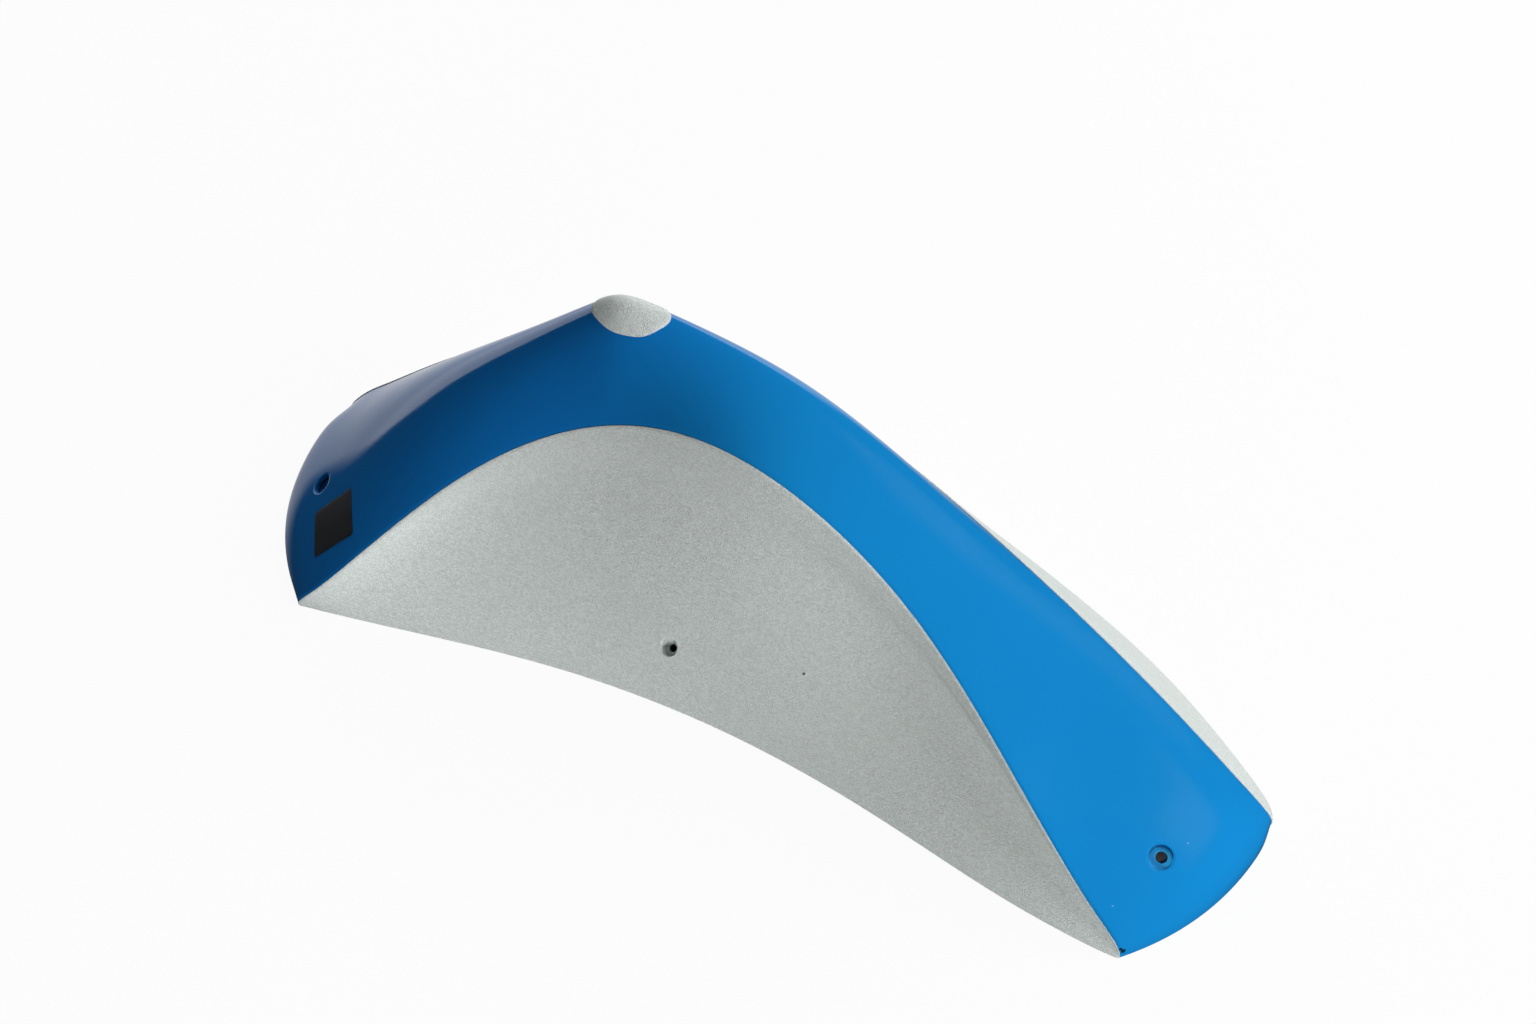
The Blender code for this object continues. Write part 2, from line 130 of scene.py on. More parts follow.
@dataclass
class HoldForm:
    """The outer form of the hold, in a drawing frame that `origin` moves to the part's frame."""

    front_foot_bow: GuideLine = GuideLine(0.031, (0, 0.113, 0.452, 0.871, 1, 0.71, 0.226, 0, 0))
    front_edge_setback: GuideLine = GuideLine(
        0.0795, (0, 0.05, 0.711, 1, 0.855, 0.704, 0.365, 0.094, 0)
    )
    front_edge_height: GuideLine = GuideLine(
        0.154, (0, 0.198, 0.536, 0.864, 1, 0.75, 0.435, 0.153, 0)
    )
    knee_reach: GuideLine = GuideLine(
        0.154, (0.331, 0.61, 0.789, 0.958, 1, 0.834, 0.669, 0.442, 0.279)
    )
    knee_height: GuideLine = GuideLine(
        0.1605, (0, 0.202, 0.617, 0.903, 1, 0.769, 0.47, 0.274, 0)
    )
    back_foot_reach: GuideLine = GuideLine(
        0.2435, (0.571, 0.7025, 0.86, 0.961, 1, 0.881, 0.721, 0.544, 0.429)
    )
    back_edge_setback: GuideLine = GuideLine(
        0.0785, (0, 0.2993, 0.592, 0.777, 1, 0.911, 0.707, 0.357, 0)
    )
    back_edge_height: GuideLine = GuideLine(
        0.1375, (0, 0.164, 0.553, 0.891, 1, 0.807, 0.524, 0.244, 0)
    )
    cove_depth: GuideLine = GuideLine(0.012, (0, 0.167, 0.25, 0.333, 0.5, 0.917, 1, 0.5, 0))
    lip_height: GuideLine = GuideLine(0.0025, (0, 0.2, 0.2, 0.2, 0.4, 1, 1, 0.4, 0))
    lip_start: float = 0.8
    front_half: float = 0.250
    knee_past: tuple[float, float] = (0.0675, 0.045)
    back_past: tuple[float, float] = (0.057, 0.0515)
    tip_station: float = -0.251
    tip_rise: float = 0.062
    tip_push: float = 0.015
    tip_reach: float = 0.16
    tip_rounding: float = 0.03
    band_fullness: float = 1.6
    wall: float = 0.0
    drop_per_wall: float = 1.4
    hollow_foot: float = 0.001
    origin: np.ndarray = field(default_factory=lambda: np.zeros(3))

    def spacing(self, q: np.ndarray) -> np.ndarray:
        """Return how far along a line each station is, from -1 to 1."""
        return 1.5 * q - 0.5 * q ** 3

    def swell(self, q: np.ndarray) -> np.ndarray:
        """Return 1 over most of the length, falling to 0 at both ends."""
        return 1 - self.spacing(q) ** 4

    def line_x(self, past: tuple[float, float], q: np.ndarray) -> np.ndarray:
        """Return the x of a line that reaches past the front foot's ends.

        Args:
            past: How far it reaches past the left and the right end.
            q: Stations.

        Returns:
            One x for each station.
        """
        s = self.spacing(q)
        lean = np.sin(math.pi * s / 2)
        total = 2 * self.front_half + past[0] + past[1]
        return 0.5 * s * (total + (past[1] - past[0]) * lean)

    def guides(self, q: np.ndarray) -> tuple[np.ndarray, ...]:
        """Return front foot, front edge, knee, back edge and back foot.

        Args:
            q: Stations, of any shape.

        Returns:
            Five arrays of points with the shape of q and a last axis of three.
        """
        reach = np.hypot(q - self.tip_station, self.tip_rounding)
        tip = self.swell(q) * np.exp((self.tip_rounding - reach) / self.tip_reach)
        front_x = self.line_x((0.0, 0.0), q)
        knee_x = self.line_x(self.knee_past, q)
        back_x = self.line_x(self.back_past, q)
        drop = self.drop_per_wall * self.wall
        foot_drop = self.hollow_foot if self.wall else 0.0
        front_y = self.front_foot_bow.at(q) + self.wall
        back_y = self.back_foot_reach.at(q) - self.wall
        edge_y = front_y + self.front_edge_setback.at(q)
        edge_z = self.front_edge_height.at(q) - drop
        knee_y = self.knee_reach.at(q) + self.tip_push * tip
        knee_z = self.knee_height.at(q) + self.tip_rise * tip - drop
        back_edge_y = back_y - self.back_edge_setback.at(q)
        back_edge_z = self.back_edge_height.at(q) - drop
        lines = (
            (front_x, front_y, np.minimum(edge_z, 0) - foot_drop),
            (front_x, edge_y, edge_z),
            (knee_x, knee_y, knee_z),
            (back_x, back_edge_y, back_edge_z),
            (back_x, back_y, np.minimum(back_edge_z, 0) - foot_drop),
        )
        return tuple(np.stack(line, axis=-1) + self.origin for line in lines)

    def front(self, q: np.ndarray, share: np.ndarray) -> np.ndarray:
        """Return points of the steep front face.

        Args:
            q: Stations.
            share: Shares from 0 at the foot to 1 at the edge.

        Returns:
            The points.
        """
        foot, edge, _, _, _ = self.guides(q)
        points = foot + (edge - foot) * share[..., None]
        points[..., 1] += self.cove_depth.at(q) * COVE_SCALE * share ** 2 * (1 - share)
        rise = np.clip((share - self.lip_start) / (1 - self.lip_start), 0, 1)
        points[..., 1] -= self.lip_height.at(q) * np.sin(math.pi * rise) ** 2
        return points

    def band(self, q: np.ndarray, share: np.ndarray) -> np.ndarray:
        """Return points of the blue band.

        Args:
            q: Stations.
            share: Shares from 0 at the front edge to 1 at the back edge.

        Returns:
            The points.
        """
        _, near_edge, knee, far_edge, _ = self.guides(q)
        fullness = 1 + (self.band_fullness - 1) * self.swell(q)
        near = ((1 - share) ** 2)[..., None]
        middle = (2 * fullness * share * (1 - share))[..., None]
        far = (share ** 2)[..., None]
        return (near * near_edge + middle * knee + far * far_edge) / (near + middle + far)

    def back(self, q: np.ndarray, share: np.ndarray) -> np.ndarray:
        """Return points of the back face, share 0 at the edge and 1 at the foot."""
        _, _, _, edge, foot = self.guides(q)
        return edge + (foot - edge) * share[..., None]

    def outward(self, surface: Callable, q: float, share: float) -> np.ndarray:
        """Return the outward normal of one of the surfaces at one place.

        Args:
            surface: The method front, band or back.
            q: Station.
            share: Share across the surface.

        Returns:
            A unit vector.
        """
        step = 0.002
        stations = np.array([q + step, q - step, q, q])
        shares = np.array([share, share, share + step, share - step])
        points = surface(stations, shares)
        return unit(np.cross(points[0] - points[1], points[2] - points[3]))

    def at(self, surface: Callable, q: float, share: float) -> np.ndarray:
        """Return one point of a surface."""
        return surface(np.array([q]), np.array([share]))[0]


@dataclass
class Section:
    """How finely the form is cut up, and how its edges are rounded."""

    stations: int = 230
    front_points: int = 30
    corner_points: int = 7
    band_points: int = 78
    back_points: int = 18
    front_radius: float = 0.0035
    back_radius: float = 0.0025
    corner_share: float = 0.35
    tip_crowding: tuple[float, float] = (1.6, 0.13)
    end_crowding: tuple[float, float] = (1.2, 0.06)
    left_move: tuple[float, float, float] = (0.0036, -0.0016, -0.0004)
    right_move: tuple[float, float, float] = (-0.0022, 0.0006, 0.0)
    left_reach: float = 0.016
    right_reach: float = 0.009

    @property
    def front_corner(self) -> int:
        """Index of the paint line in a row."""
        return self.front_points + self.corner_points // 2

    @property
    def back_corner(self) -> int:
        """Index of the back paint line in a row."""
        return self.front_points + self.corner_points + self.band_points + self.corner_points // 2

    def stations_of(self, form: HoldForm) -> np.ndarray:
        """Return the stations, closer together round the tip and at both ends.

        Args:
            form: The form that is cut up.

        Returns:
            Stations from -1 to 1.
        """
        even = np.linspace(-1, 1, 2001)
        extra, width = self.tip_crowding
        density = 1 + extra * np.exp(-((even - form.tip_station) / width) ** 2)
        extra, width = self.end_crowding
        density += extra * np.exp(-((1 - np.abs(even)) / width) ** 2)
        path = np.concatenate(([0], np.cumsum(0.5 * (density[1:] + density[:-1]))))
        steps = np.linspace(0, path[-1], self.stations)
        return np.interp(steps, path, even)

    def grid(self, form: HoldForm) -> np.ndarray:
        """Return the rounded sections of the form.

        Args:
            form: The form that is cut up.

        Returns:
            Points with one row for each station, from the front foot to the back foot.
        """
        q = self.stations_of(form)[:, None]
        foot, edge, _, back_edge, back_foot = form.guides(q[:, 0])
        height = np.linalg.norm(edge - foot, axis=-1)
        back_height = np.linalg.norm(back_edge - back_foot, axis=-1)
        near = np.minimum(self.front_radius, self.corner_share * height)
        far = np.minimum(self.back_radius, self.corner_share * back_height)
        step = 0.01
        ones = np.ones_like(q)
        start = form.band(q, 0 * ones)
        pace = np.linalg.norm(form.band(q, step * ones) - start, axis=-1)[:, 0] / step
        end = form.band(q, ones)
        end_pace = np.linalg.norm(end - form.band(q, (1 - step) * ones), axis=-1)[:, 0] / step
        low = near / np.maximum(pace, 1e-6)
        high = 1 - far / np.maximum(end_pace, 1e-6)
        band_share = low[:, None] + (high - low)[:, None] * np.linspace(0, 1, self.band_points)
        band = form.band(q + 0 * band_share, band_share)
        top = 1 - near / np.maximum(height, 1e-6)
        front_share = top[:, None] * np.linspace(0, 1, self.front_points)
        front = form.front(q + 0 * front_share, front_share)
        bottom = far / np.maximum(back_height, 1e-6)
        back_share = bottom[:, None] + (1 - bottom)[:, None] * np.linspace(0, 1, self.back_points)
        back = form.back(q + 0 * back_share, back_share)
        near_corner = self.corner(front[:, -1], edge, band[:, 0])
        far_corner = self.corner(band[:, -1], back_edge, back[:, 0])
        grid = np.concatenate((front, near_corner, band, far_corner, back), axis=1)
        grid = self.blunted(grid, back_edge[0], self.left_move, self.left_reach)
        return self.blunted(grid, back_edge[-1], self.right_move, self.right_reach)

    def blunted(self, grid: np.ndarray, tip: np.ndarray, move: Sequence[float],
                reach: float) -> np.ndarray:
        """Return the grid with the corner at a tip moved, as far round it as the reach."""
        distance = np.linalg.norm(grid - tip, axis=-1, keepdims=True)
        return grid + np.array(move) * np.exp(-(distance / reach) ** 2)

    def corner(self, start: np.ndarray, middle: np.ndarray, end: np.ndarray) -> np.ndarray:
        """Return the points that round a corner, without its two ends.

        Args:
            start: Where the rounding leaves the first surface, at each station.
            middle: The sharp corner.
            end: Where the rounding meets the second surface.

        Returns:
            One row of points for each station.
        """
        t = (np.arange(self.corner_points) + 1) / (self.corner_points + 1)
        t = t[None, :, None]
        ends = (1 - t) ** 2 * start[:, None] + 2 * t * (1 - t) * middle[:, None]
        return ends + t ** 2 * end[:, None]


def grid_normals(grid: np.ndarray) -> np.ndarray:
    """Return outward unit normals of a grid of points, one for each point."""
    along = np.gradient(grid, axis=0)
    across = np.gradient(grid, axis=1)
    return unit(np.cross(along, across))


def coarser(section: Section, share: float) -> Section:
    """Return a section with a share of the points."""
    return replace(
        section,
        stations=int(section.stations * share),
        front_points=int(section.front_points * share),
        corner_points=3,
        band_points=int(section.band_points * share),
        back_points=int(section.back_points * share),
    )


class Surface:
    """Collects points and faces, and turns them into one mesh piece."""

    def __init__(self, name: str) -> None:
        """Start an empty surface."""
        self.name = name
        self.points: list[np.ndarray] = []
        self.faces: list[tuple[int, ...]] = []
        self.slots: list[int] = []
        self.count = 0

    def add(self, grid: np.ndarray) -> np.ndarray:
        """Add a grid of points, and return its grid of indices."""
        index = self.count + np.arange(grid.shape[0] * grid.shape[1]).reshape(grid.shape[:2])
        self.points.append(grid.reshape(-1, 3))
        self.count += index.size
        return index

    def fill(self, index: np.ndarray, slot: int | np.ndarray = 0, flip: bool = False) -> None:
        """Add the faces between neighbouring points of a grid.

        Args:
            index: Grid of point indices.
            slot: Material index, or one for each column of faces.
            flip: Whether the faces look the other way.
        """
        near, far = index[:-1], index[1:]
        quads = np.stack((near[:, :-1], far[:, :-1], far[:, 1:], near[:, 1:]), axis=-1)
        if flip:
            quads = quads[..., ::-1]
        columns = np.broadcast_to(np.asarray(slot), quads.shape[:2])
        self.faces += [tuple(int(k) for k in quad) for quad in quads.reshape(-1, 4)]
        self.slots += [int(k) for k in columns.reshape(-1)]

    def close_below(self, index: np.ndarray, slot: int, floor: float = 0.0) -> None:
        """Close a surface underneath, straight down to a floor where there is one.

        Args:
            index: Grid of indices whose border is closed.
            slot: Material index of the new faces.
            floor: Height of the closing face; at 0 the border itself is closed.
        """
        loop = around(index)
        if floor < 0:
            points = np.concatenate(self.points)[loop]
            points[:, 2] = floor
            lower = self.add(points[None])[0]
            self.fill(np.stack((loop, lower), axis=1), slot=slot)
            loop = lower
        points = np.concatenate(self.points)[loop]
        kept = np.linalg.norm(np.diff(points, axis=0), axis=1) > 2e-6
        self.faces.append(tuple(int(k) for k in loop[:-1][kept]))
        self.slots.append(slot)

    def piece(self, finishes: Sequence[bpy.types.Material],
              sharp: float = 40.0) -> bpy.types.Object:
        """Build the object.

        Args:
            finishes: Materials, in the order of the slots.
            sharp: Angle in degrees past which an edge is shown sharp.

        Returns:
            A linked, smooth-shaded object.
        """
        mesh = bpy.data.meshes.new(self.name)
        mesh.from_pydata(np.concatenate(self.points).tolist(), [], self.faces)
        for finish in finishes:
            mesh.materials.append(finish)
        mesh.polygons.foreach_set("material_index", self.slots)
        tidy = bmesh.new()
        tidy.from_mesh(mesh)
        bmesh.ops.remove_doubles(tidy, verts=tidy.verts, dist=2e-6)
        bmesh.ops.dissolve_degenerate(tidy, edges=tidy.edges, dist=1e-6)
        bmesh.ops.recalc_face_normals(tidy, faces=tidy.faces)
        tidy.to_mesh(mesh)
        tidy.free()
        mesh.shade_smooth()
        mesh.set_sharp_from_angle(angle=math.radians(sharp))
        return linked(self.name, mesh)


def around(index: np.ndarray) -> np.ndarray:
    """Return the border of a grid of indices as one closed loop, first index repeated."""
    loop = np.concatenate((index[:-1, 0], index[-1, :-1], index[:0:-1, -1], index[0, :0:-1]))
    return np.append(loop, loop[0])


class NodeSheet:
    """A small helper that adds linked nodes to a node tree."""

    def __init__(self, tree: bpy.types.NodeTree) -> None:
        """Remember the tree."""
        self.tree = tree

    def add(self, kind: str, settings: Optional[dict] = None, **inputs) -> bpy.types.Node:
        """Add a node.

        Args:
            kind: The node's class name without its ShaderNode prefix.
            settings: Attributes of the node.
            inputs: Socket names, with blanks as underscores, and a value or socket for each.

        Returns:
            The node.
        """
        node = self.tree.nodes.new("ShaderNode" + kind)
        for name, value in (settings or {}).items():
            setattr(node, name, value)
        for name, value in inputs.items():
            self.feed(node, name.replace("_", " "), value)
        return node

    def feed(self, node: bpy.types.Node, name: str | int, value) -> None:
        """Set an input socket to a value, or link it to an output socket."""
        socket = node.inputs[name]
        if isinstance(value, bpy.types.NodeSocket):
            self.tree.links.new(value, socket)
        else:
            socket.default_value = value

    def axes(self, vector) -> bpy.types.bpy_prop_collection:
        """Return the sockets X, Y and Z of a vector."""
        return self.add("SeparateXYZ", Vector=vector).outputs

    def math(self, operation: str, *values) -> bpy.types.NodeSocket:
        """Return the result of a Math node."""
        node = self.tree.nodes.new("ShaderNodeMath")
        node.operation = operation
        for k, value in enumerate(values):
            self.feed(node, k, value)
        return node.outputs[0]

    def ramp(self, value, low: float, high: float, start: float = 0.0, end: float = 1.0):
        """Return a smooth step of a value between two limits."""
        node = self.add("MapRange", {"interpolation_type": "SMOOTHSTEP"})
        for name, number in zip((0, 1, 2, 3, 4), (value, low, high, start, end)):
            self.feed(node, name, number)
        return node.outputs[0]

    def mix(self, factor, first, second) -> bpy.types.NodeSocket:
        """Return the mix of two colours."""
        node = self.tree.nodes.new("ShaderNodeMix")
        node.data_type = "RGBA"
        self.feed(node, 0, factor)
        self.feed(node, 6, first)
        self.feed(node, 7, second)
        return node.outputs[2]

    def noise(self, vector, scale: float, detail: float = 2.0, roughness: float = 0.5):
        """Return the value of a Noise texture."""
        node = self.add("TexNoise", Vector=vector, Scale=scale, Detail=detail)
        node.inputs["Roughness"].default_value = roughness
        return node.outputs["Fac"]


def rgba(colour: Colour, share: float = 1.0) -> tuple[float, float, float, float]:
    """Return a colour with full alpha, darker or lighter by a share of its light."""
    return (*(share * part for part in colour), 1.0)


def grey(level: float) -> tuple[float, float, float, float]:
    """Return a grey with full alpha."""
    return rgba((level, level, level))


def shader_group(name: str, inputs: dict[str, float],
                 outputs: Sequence[str]) -> bpy.types.NodeTree:
    """Make an empty shader node group with named number sockets.

    Args:
        name: Name of the group.
        inputs: Input names with their defaults; a name ending in Vector makes a vector socket.
        outputs: Output names.

    Returns:
        The group, with its Group Input and Group Output nodes.
    """
    group = bpy.data.node_groups.new(name, "ShaderNodeTree")
    for label, value in inputs.items():
        kind = "NodeSocketVector" if label.endswith("Vector") else "NodeSocketFloat"
        socket = group.interface.new_socket(label, in_out="INPUT", socket_type=kind)
        if kind == "NodeSocketFloat":
            socket.default_value = value
    for label in outputs:
        group.interface.new_socket(label, in_out="OUTPUT", socket_type="NodeSocketFloat")
    group.nodes.new("NodeGroupInput")
    group.nodes.new("NodeGroupOutput")
    return group


def group_ends(group: bpy.types.NodeTree) -> tuple[bpy.types.Node, bpy.types.Node]:
    """Return the Group Input and Group Output nodes of a group."""
    return group.nodes["Group Input"], group.nodes["Group Output"]


def grain_group() -> bpy.types.NodeTree:
    """Build the grain that sand, filler and laminate share.

    Returns:
        A group that turns a position into a Height and a Speckle mask.
    """
    inputs = {"Vector": 0.0, "Grain Size": 0.0007, "Lump Size": 0.006, "Lumps": 0.3}
    group = shader_group("grain", inputs, ("Height", "Speckle"))
    given, result = group_ends(group)
    sheet = NodeSheet(group)
    fine = sheet.math("DIVIDE", 1.0, given.outputs["Grain Size"])
    coarse = sheet.math("DIVIDE", 1.0, given.outputs["Lump Size"])
    cells = sheet.add("TexVoronoi", Vector=given.outputs["Vector"], Scale=fine)
    grit = sheet.math("SUBTRACT", 1.0, cells.outputs["Distance"])
    dust = sheet.noise(given.outputs["Vector"], fine, 3.0, 0.6)
    lumps = sheet.noise(given.outputs["Vector"], coarse, 3.0, 0.55)
    grit = sheet.math("MULTIPLY", grit, 0.6)
    surface = sheet.math("ADD", grit, sheet.math("MULTIPLY", dust, 0.6))
    swelling = sheet.math("MULTIPLY", lumps, given.outputs["Lumps"])
    sheet.feed(result, "Height", sheet.math("ADD", surface, swelling))
    channels = sheet.add("SeparateColor", Color=cells.outputs["Color"])
    sheet.feed(result, "Speckle", channels.outputs[0])
    return group


def handling_group() -> bpy.types.NodeTree:
    """Build the marks of handling that smooth surfaces share.

    Returns:
        A group that turns a position into a Smudge mask, a Scratch mask and a Wave height.
    """
    inputs = {"Vector": 0.0, "Smudge Size": 0.05, "Scratch Width": 0.0008, "Wave Size": 0.03}
    group = shader_group("handling", inputs, ("Smudge", "Scratch", "Wave"))
    given, result = group_ends(group)
    sheet = NodeSheet(group)
    where = given.outputs["Vector"]
    smudge = sheet.noise(where, sheet.math("DIVIDE", 1.0, given.outputs["Smudge Size"]), 4.0, 0.6)
    sheet.feed(result, "Smudge", sheet.ramp(smudge, 0.48, 0.72))
    streaks = sheet.add("Mapping", Vector=where, Rotation=(0.3, 0.5, 0.9), Scale=(0.04, 1.0, 0.6))
    across = sheet.math("DIVIDE", 1.0, given.outputs["Scratch Width"])
    line = sheet.noise(streaks.outputs[0], across, 1.0, 0.4)
    patches = sheet.ramp(sheet.noise(where, 22.0, 2.0), 0.58, 0.72)
    sheet.feed(result, "Scratch", sheet.math("MULTIPLY", sheet.ramp(line, 0.68, 0.74), patches))
    wave = sheet.noise(where, sheet.math("DIVIDE", 1.0, given.outputs["Wave Size"]), 1.0, 0.3)
    sheet.feed(result, "Wave", wave)
    return group


@dataclass(frozen=True)
class SharedEffects:
    """The node groups that several finishes use."""

    grain: bpy.types.NodeTree
    handling: bpy.types.NodeTree


@dataclass(frozen=True)
class Finish:
    """A finish: its colour and gloss, and the effects that it shares with others."""

    name: str
    colour: Colour
    roughness: float
    relief: ClassVar[float]

    def start(self) -> tuple[bpy.types.Material, NodeSheet, bpy.types.Node, bpy.types.NodeSocket]:
        """Make the material with its constant values.

        Returns:
            The material, its node sheet, its Principled node and the object coordinates.
        """
        material = bpy.data.materials.new(self.name)
        material.use_nodes = True
        sheet = NodeSheet(material.node_tree)
        shader = material.node_tree.nodes["Principled BSDF"]
        shader.inputs["Base Color"].default_value = rgba(self.colour)
        shader.inputs["Roughness"].default_value = self.roughness
        where = sheet.add("TexCoord").outputs["Object"]
        return material, sheet, shader, where

    def effect(self, sheet: NodeSheet, group: bpy.types.NodeTree, where,
               **values) -> bpy.types.Node:
        """Place a shared effect in the material with its own values."""
        node = sheet.tree.nodes.new("ShaderNodeGroup")
        node.node_tree = group
        sheet.feed(node, "Vector", where)
        for name, value in values.items():
            sheet.feed(node, name.replace("_", " "), value)
        return node

    def wire(self, sheet: NodeSheet, shader: bpy.types.Node, base, height, worn=None) -> None:
        """Lead colour, height and added roughness to the shader.

        Args:
            sheet: Node sheet of the material.
            shader: Its Principled node.
            base: Socket with the colour.
            height: Socket with the height of the relief.
            worn: Socket with the roughness that wear adds, if any.
        """
        sheet.feed(shader, "Base Color", base)
        if worn is not None:
            sheet.feed(shader, "Roughness", sheet.math("ADD", worn, self.roughness))
        node = sheet.add("Bump", Height=height, Strength=1.0, Distance=self.relief)
        sheet.feed(shader, "Normal", node.outputs[0])


@dataclass(frozen=True)
class Mark:
    """A small round mark in a surface: its place, size and colour, and how deep it goes."""

    place: tuple[float, float, float]
    size: float
    colour: Colour
    depth: float = 0.0

    def mask(self, sheet: NodeSheet, where, ragged: float) -> bpy.types.NodeSocket:
        """Return 1 inside the mark and 0 outside it.

        Args:
            sheet: Node sheet of the material.
            where: Socket with the object coordinates.
            ragged: How uneven its border is, as a share of its size.

        Returns:
            The mask's socket.
        """
        offset = sheet.add("VectorMath", {"operation": "DISTANCE"})
        sheet.feed(offset, 0, where)
        sheet.feed(offset, 1, self.place)
        rough = sheet.math("MULTIPLY", sheet.noise(where, 900.0, 3.0), ragged * self.size)
        reach = sheet.math("ADD", offset.outputs["Value"], rough)
        return sheet.ramp(reach, 0.8 * self.size, 1.1 * self.size, 1.0, 0.0)


@dataclass(frozen=True)
class GelcoatFinish(Finish):
    """Glossy pigmented gelcoat, with light waves, smudges, fine scratches and small marks.

    Its colour is painted darker on the left wing, as painted shade.
    """

    relief: ClassVar[float] = 0.0005
    marks: tuple[Mark, ...] = ()
    coat: float = 0.4
    # Darker share of the colour on the left wing, and the span in x where it fades in: painted
    # shade.
    painted_shade: Colour = (0.75, 0.70, 0.86)
    painted_shade_span: tuple[float, float] = (-0.11, 0.03)

    def build(self, effects: SharedEffects) -> bpy.types.Material:
        """Build the material from the shared effects."""
        material, sheet, shader, where = self.start()
        shader.inputs["Coat Weight"].default_value = self.coat
        shader.inputs["Coat Roughness"].default_value = self.roughness
        wear = self.effect(sheet, effects.handling, where, Wave_Size=0.035)
        tone = sheet.noise(where, 9.0, 3.0)
        # Painted shade: the colour turns darker along x towards the left wing, with a little
        # noise.
        uneven = sheet.math("MULTIPLY_ADD", tone, 0.04, sheet.axes(where)["X"])
        deep = rgba(tuple(part * share for part, share in zip(self.colour, self.painted_shade)))
        base = sheet.mix(sheet.ramp(uneven, *self.painted_shade_span), deep, rgba(self.colour))
        peel = sheet.math("MULTIPLY", sheet.noise(where, 260.0, 1.0), 0.05)
        height = sheet.math("ADD", wear.outputs["Wave"], peel)
        worn = sheet.math("MULTIPLY", wear.outputs["Smudge"], 0.025)
        worn = sheet.math("ADD", worn, sheet.math("MULTIPLY", wear.outputs["Scratch"], 0.12))
        for mark in self.marks:
            mask = mark.mask(sheet, where, 0.5)
            base = sheet.mix(mask, base, rgba(mark.colour))
            worn = sheet.math("ADD", worn, sheet.math("MULTIPLY", mask, 0.5))
            height = sheet.math("SUBTRACT", height, sheet.math("MULTIPLY", mask, mark.depth))
        self.wire(sheet, shader, base, height, worn)
        return material


@dataclass(frozen=True)
class GritFinish(Finish):
    """Sand in resin: a fine grain with lighter and darker specks, and one small pit."""

    relief: ClassVar[float] = 0.00045
    pit: Mark

    def build(self, effects: SharedEffects) -> bpy.types.Material:
        """Build the material from the shared effects."""
        material, sheet, shader, where = self.start()
        grain = self.effect(
            sheet, effects.grain, where, Grain_Size=0.0008, Lump_Size=0.0065, Lumps=0.7
        )
        speckle = grain.outputs["Speckle"]
        base = sheet.mix(speckle, rgba(self.colour, 0.84), rgba(self.colour, 1.12))
        soiling = sheet.ramp(sheet.noise(where, 14.0, 4.0), 0.35, 0.75)
        soiled = rgba((0.93 * self.colour[0], 0.93 * self.colour[1], 0.90 * self.colour[2]))
        base = sheet.mix(sheet.math("MULTIPLY", soiling, 0.35), base, soiled)
        pit = self.pit.mask(sheet, where, 0.3)
        base = sheet.mix(pit, base, rgba(self.pit.colour))
        shader.inputs["Specular IOR Level"].default_value = 0.25
        hollow = sheet.math("MULTIPLY", pit, self.pit.depth)
        height = sheet.math("SUBTRACT", grain.outputs["Height"], hollow)
        self.wire(sheet, shader, base, height)
        return material


@dataclass(frozen=True)
class FilmFinish(Finish):
    """Satin printed film, faintly dusty."""

    relief: ClassVar[float] = 0.00004
    dusty: Colour = (0.030, 0.032, 0.038)

    def build(self, effects: SharedEffects) -> bpy.types.Material:
        """Build the material from the shared effects."""
        material, sheet, shader, where = self.start()
        marks = self.effect(sheet, effects.handling, where, Smudge_Size=0.008, Wave_Size=0.004)
        dust = sheet.math("MULTIPLY", marks.outputs["Smudge"], 0.5)
        base = sheet.mix(dust, rgba(self.colour), rgba(self.dusty))
        worn = sheet.math("MULTIPLY", marks.outputs["Smudge"], 0.12)
        self.wire(sheet, shader, base, marks.outputs["Wave"], worn)
        return material


@dataclass(frozen=True)
class LaminateFinish(Finish):
    """Raw back of the laminate: chopped glass strands in resin."""

    relief: ClassVar[float] = 0.0005
    strand_colour: Colour = (0.66, 0.70, 0.66)

    def build(self, effects: SharedEffects) -> bpy.types.Material:
        """Build the material from the shared effects."""
        material, sheet, shader, where = self.start()
        strands = None
        for k, turn in enumerate((0.2, 1.25, 2.3)):
            mapping = sheet.add(
                "Mapping", Vector=where, Rotation=(0.4 * k, 0.3, turn), Scale=(0.08, 1.0, 1.0)
            )
            line = sheet.ramp(sheet.noise(mapping.outputs[0], 520.0, 2.0), 0.52, 0.66)
            strands = line if strands is None else sheet.math("MAXIMUM", strands, line)
        grain = self.effect(
            sheet, effects.grain, where, Grain_Size=0.002, Lump_Size=0.012, Lumps=1.0
        )
        base = sheet.mix(strands, rgba(self.colour), rgba(self.strand_colour))
        height = sheet.math("ADD", strands, grain.outputs["Height"])
        self.wire(sheet, shader, base, height, sheet.math("MULTIPLY", strands, 0.25))
        return material


@dataclass(frozen=True)
class ResinFinish(Finish):
    """Dull cast resin full of filler."""

    relief: ClassVar[float] = 0.0004

    def build(self, effects: SharedEffects) -> bpy.types.Material:
        """Build the material from the shared effects."""
        material, sheet, shader, where = self.start()
        grain = self.effect(
            sheet, effects.grain, where, Grain_Size=0.0012, Lump_Size=0.007, Lumps=1.2
        )
        speckle = grain.outputs["Speckle"]
        base = sheet.mix(speckle, rgba(self.colour, 0.75), rgba(self.colour, 1.12))
        self.wire(sheet, shader, base, grain.outputs["Height"])
        return material


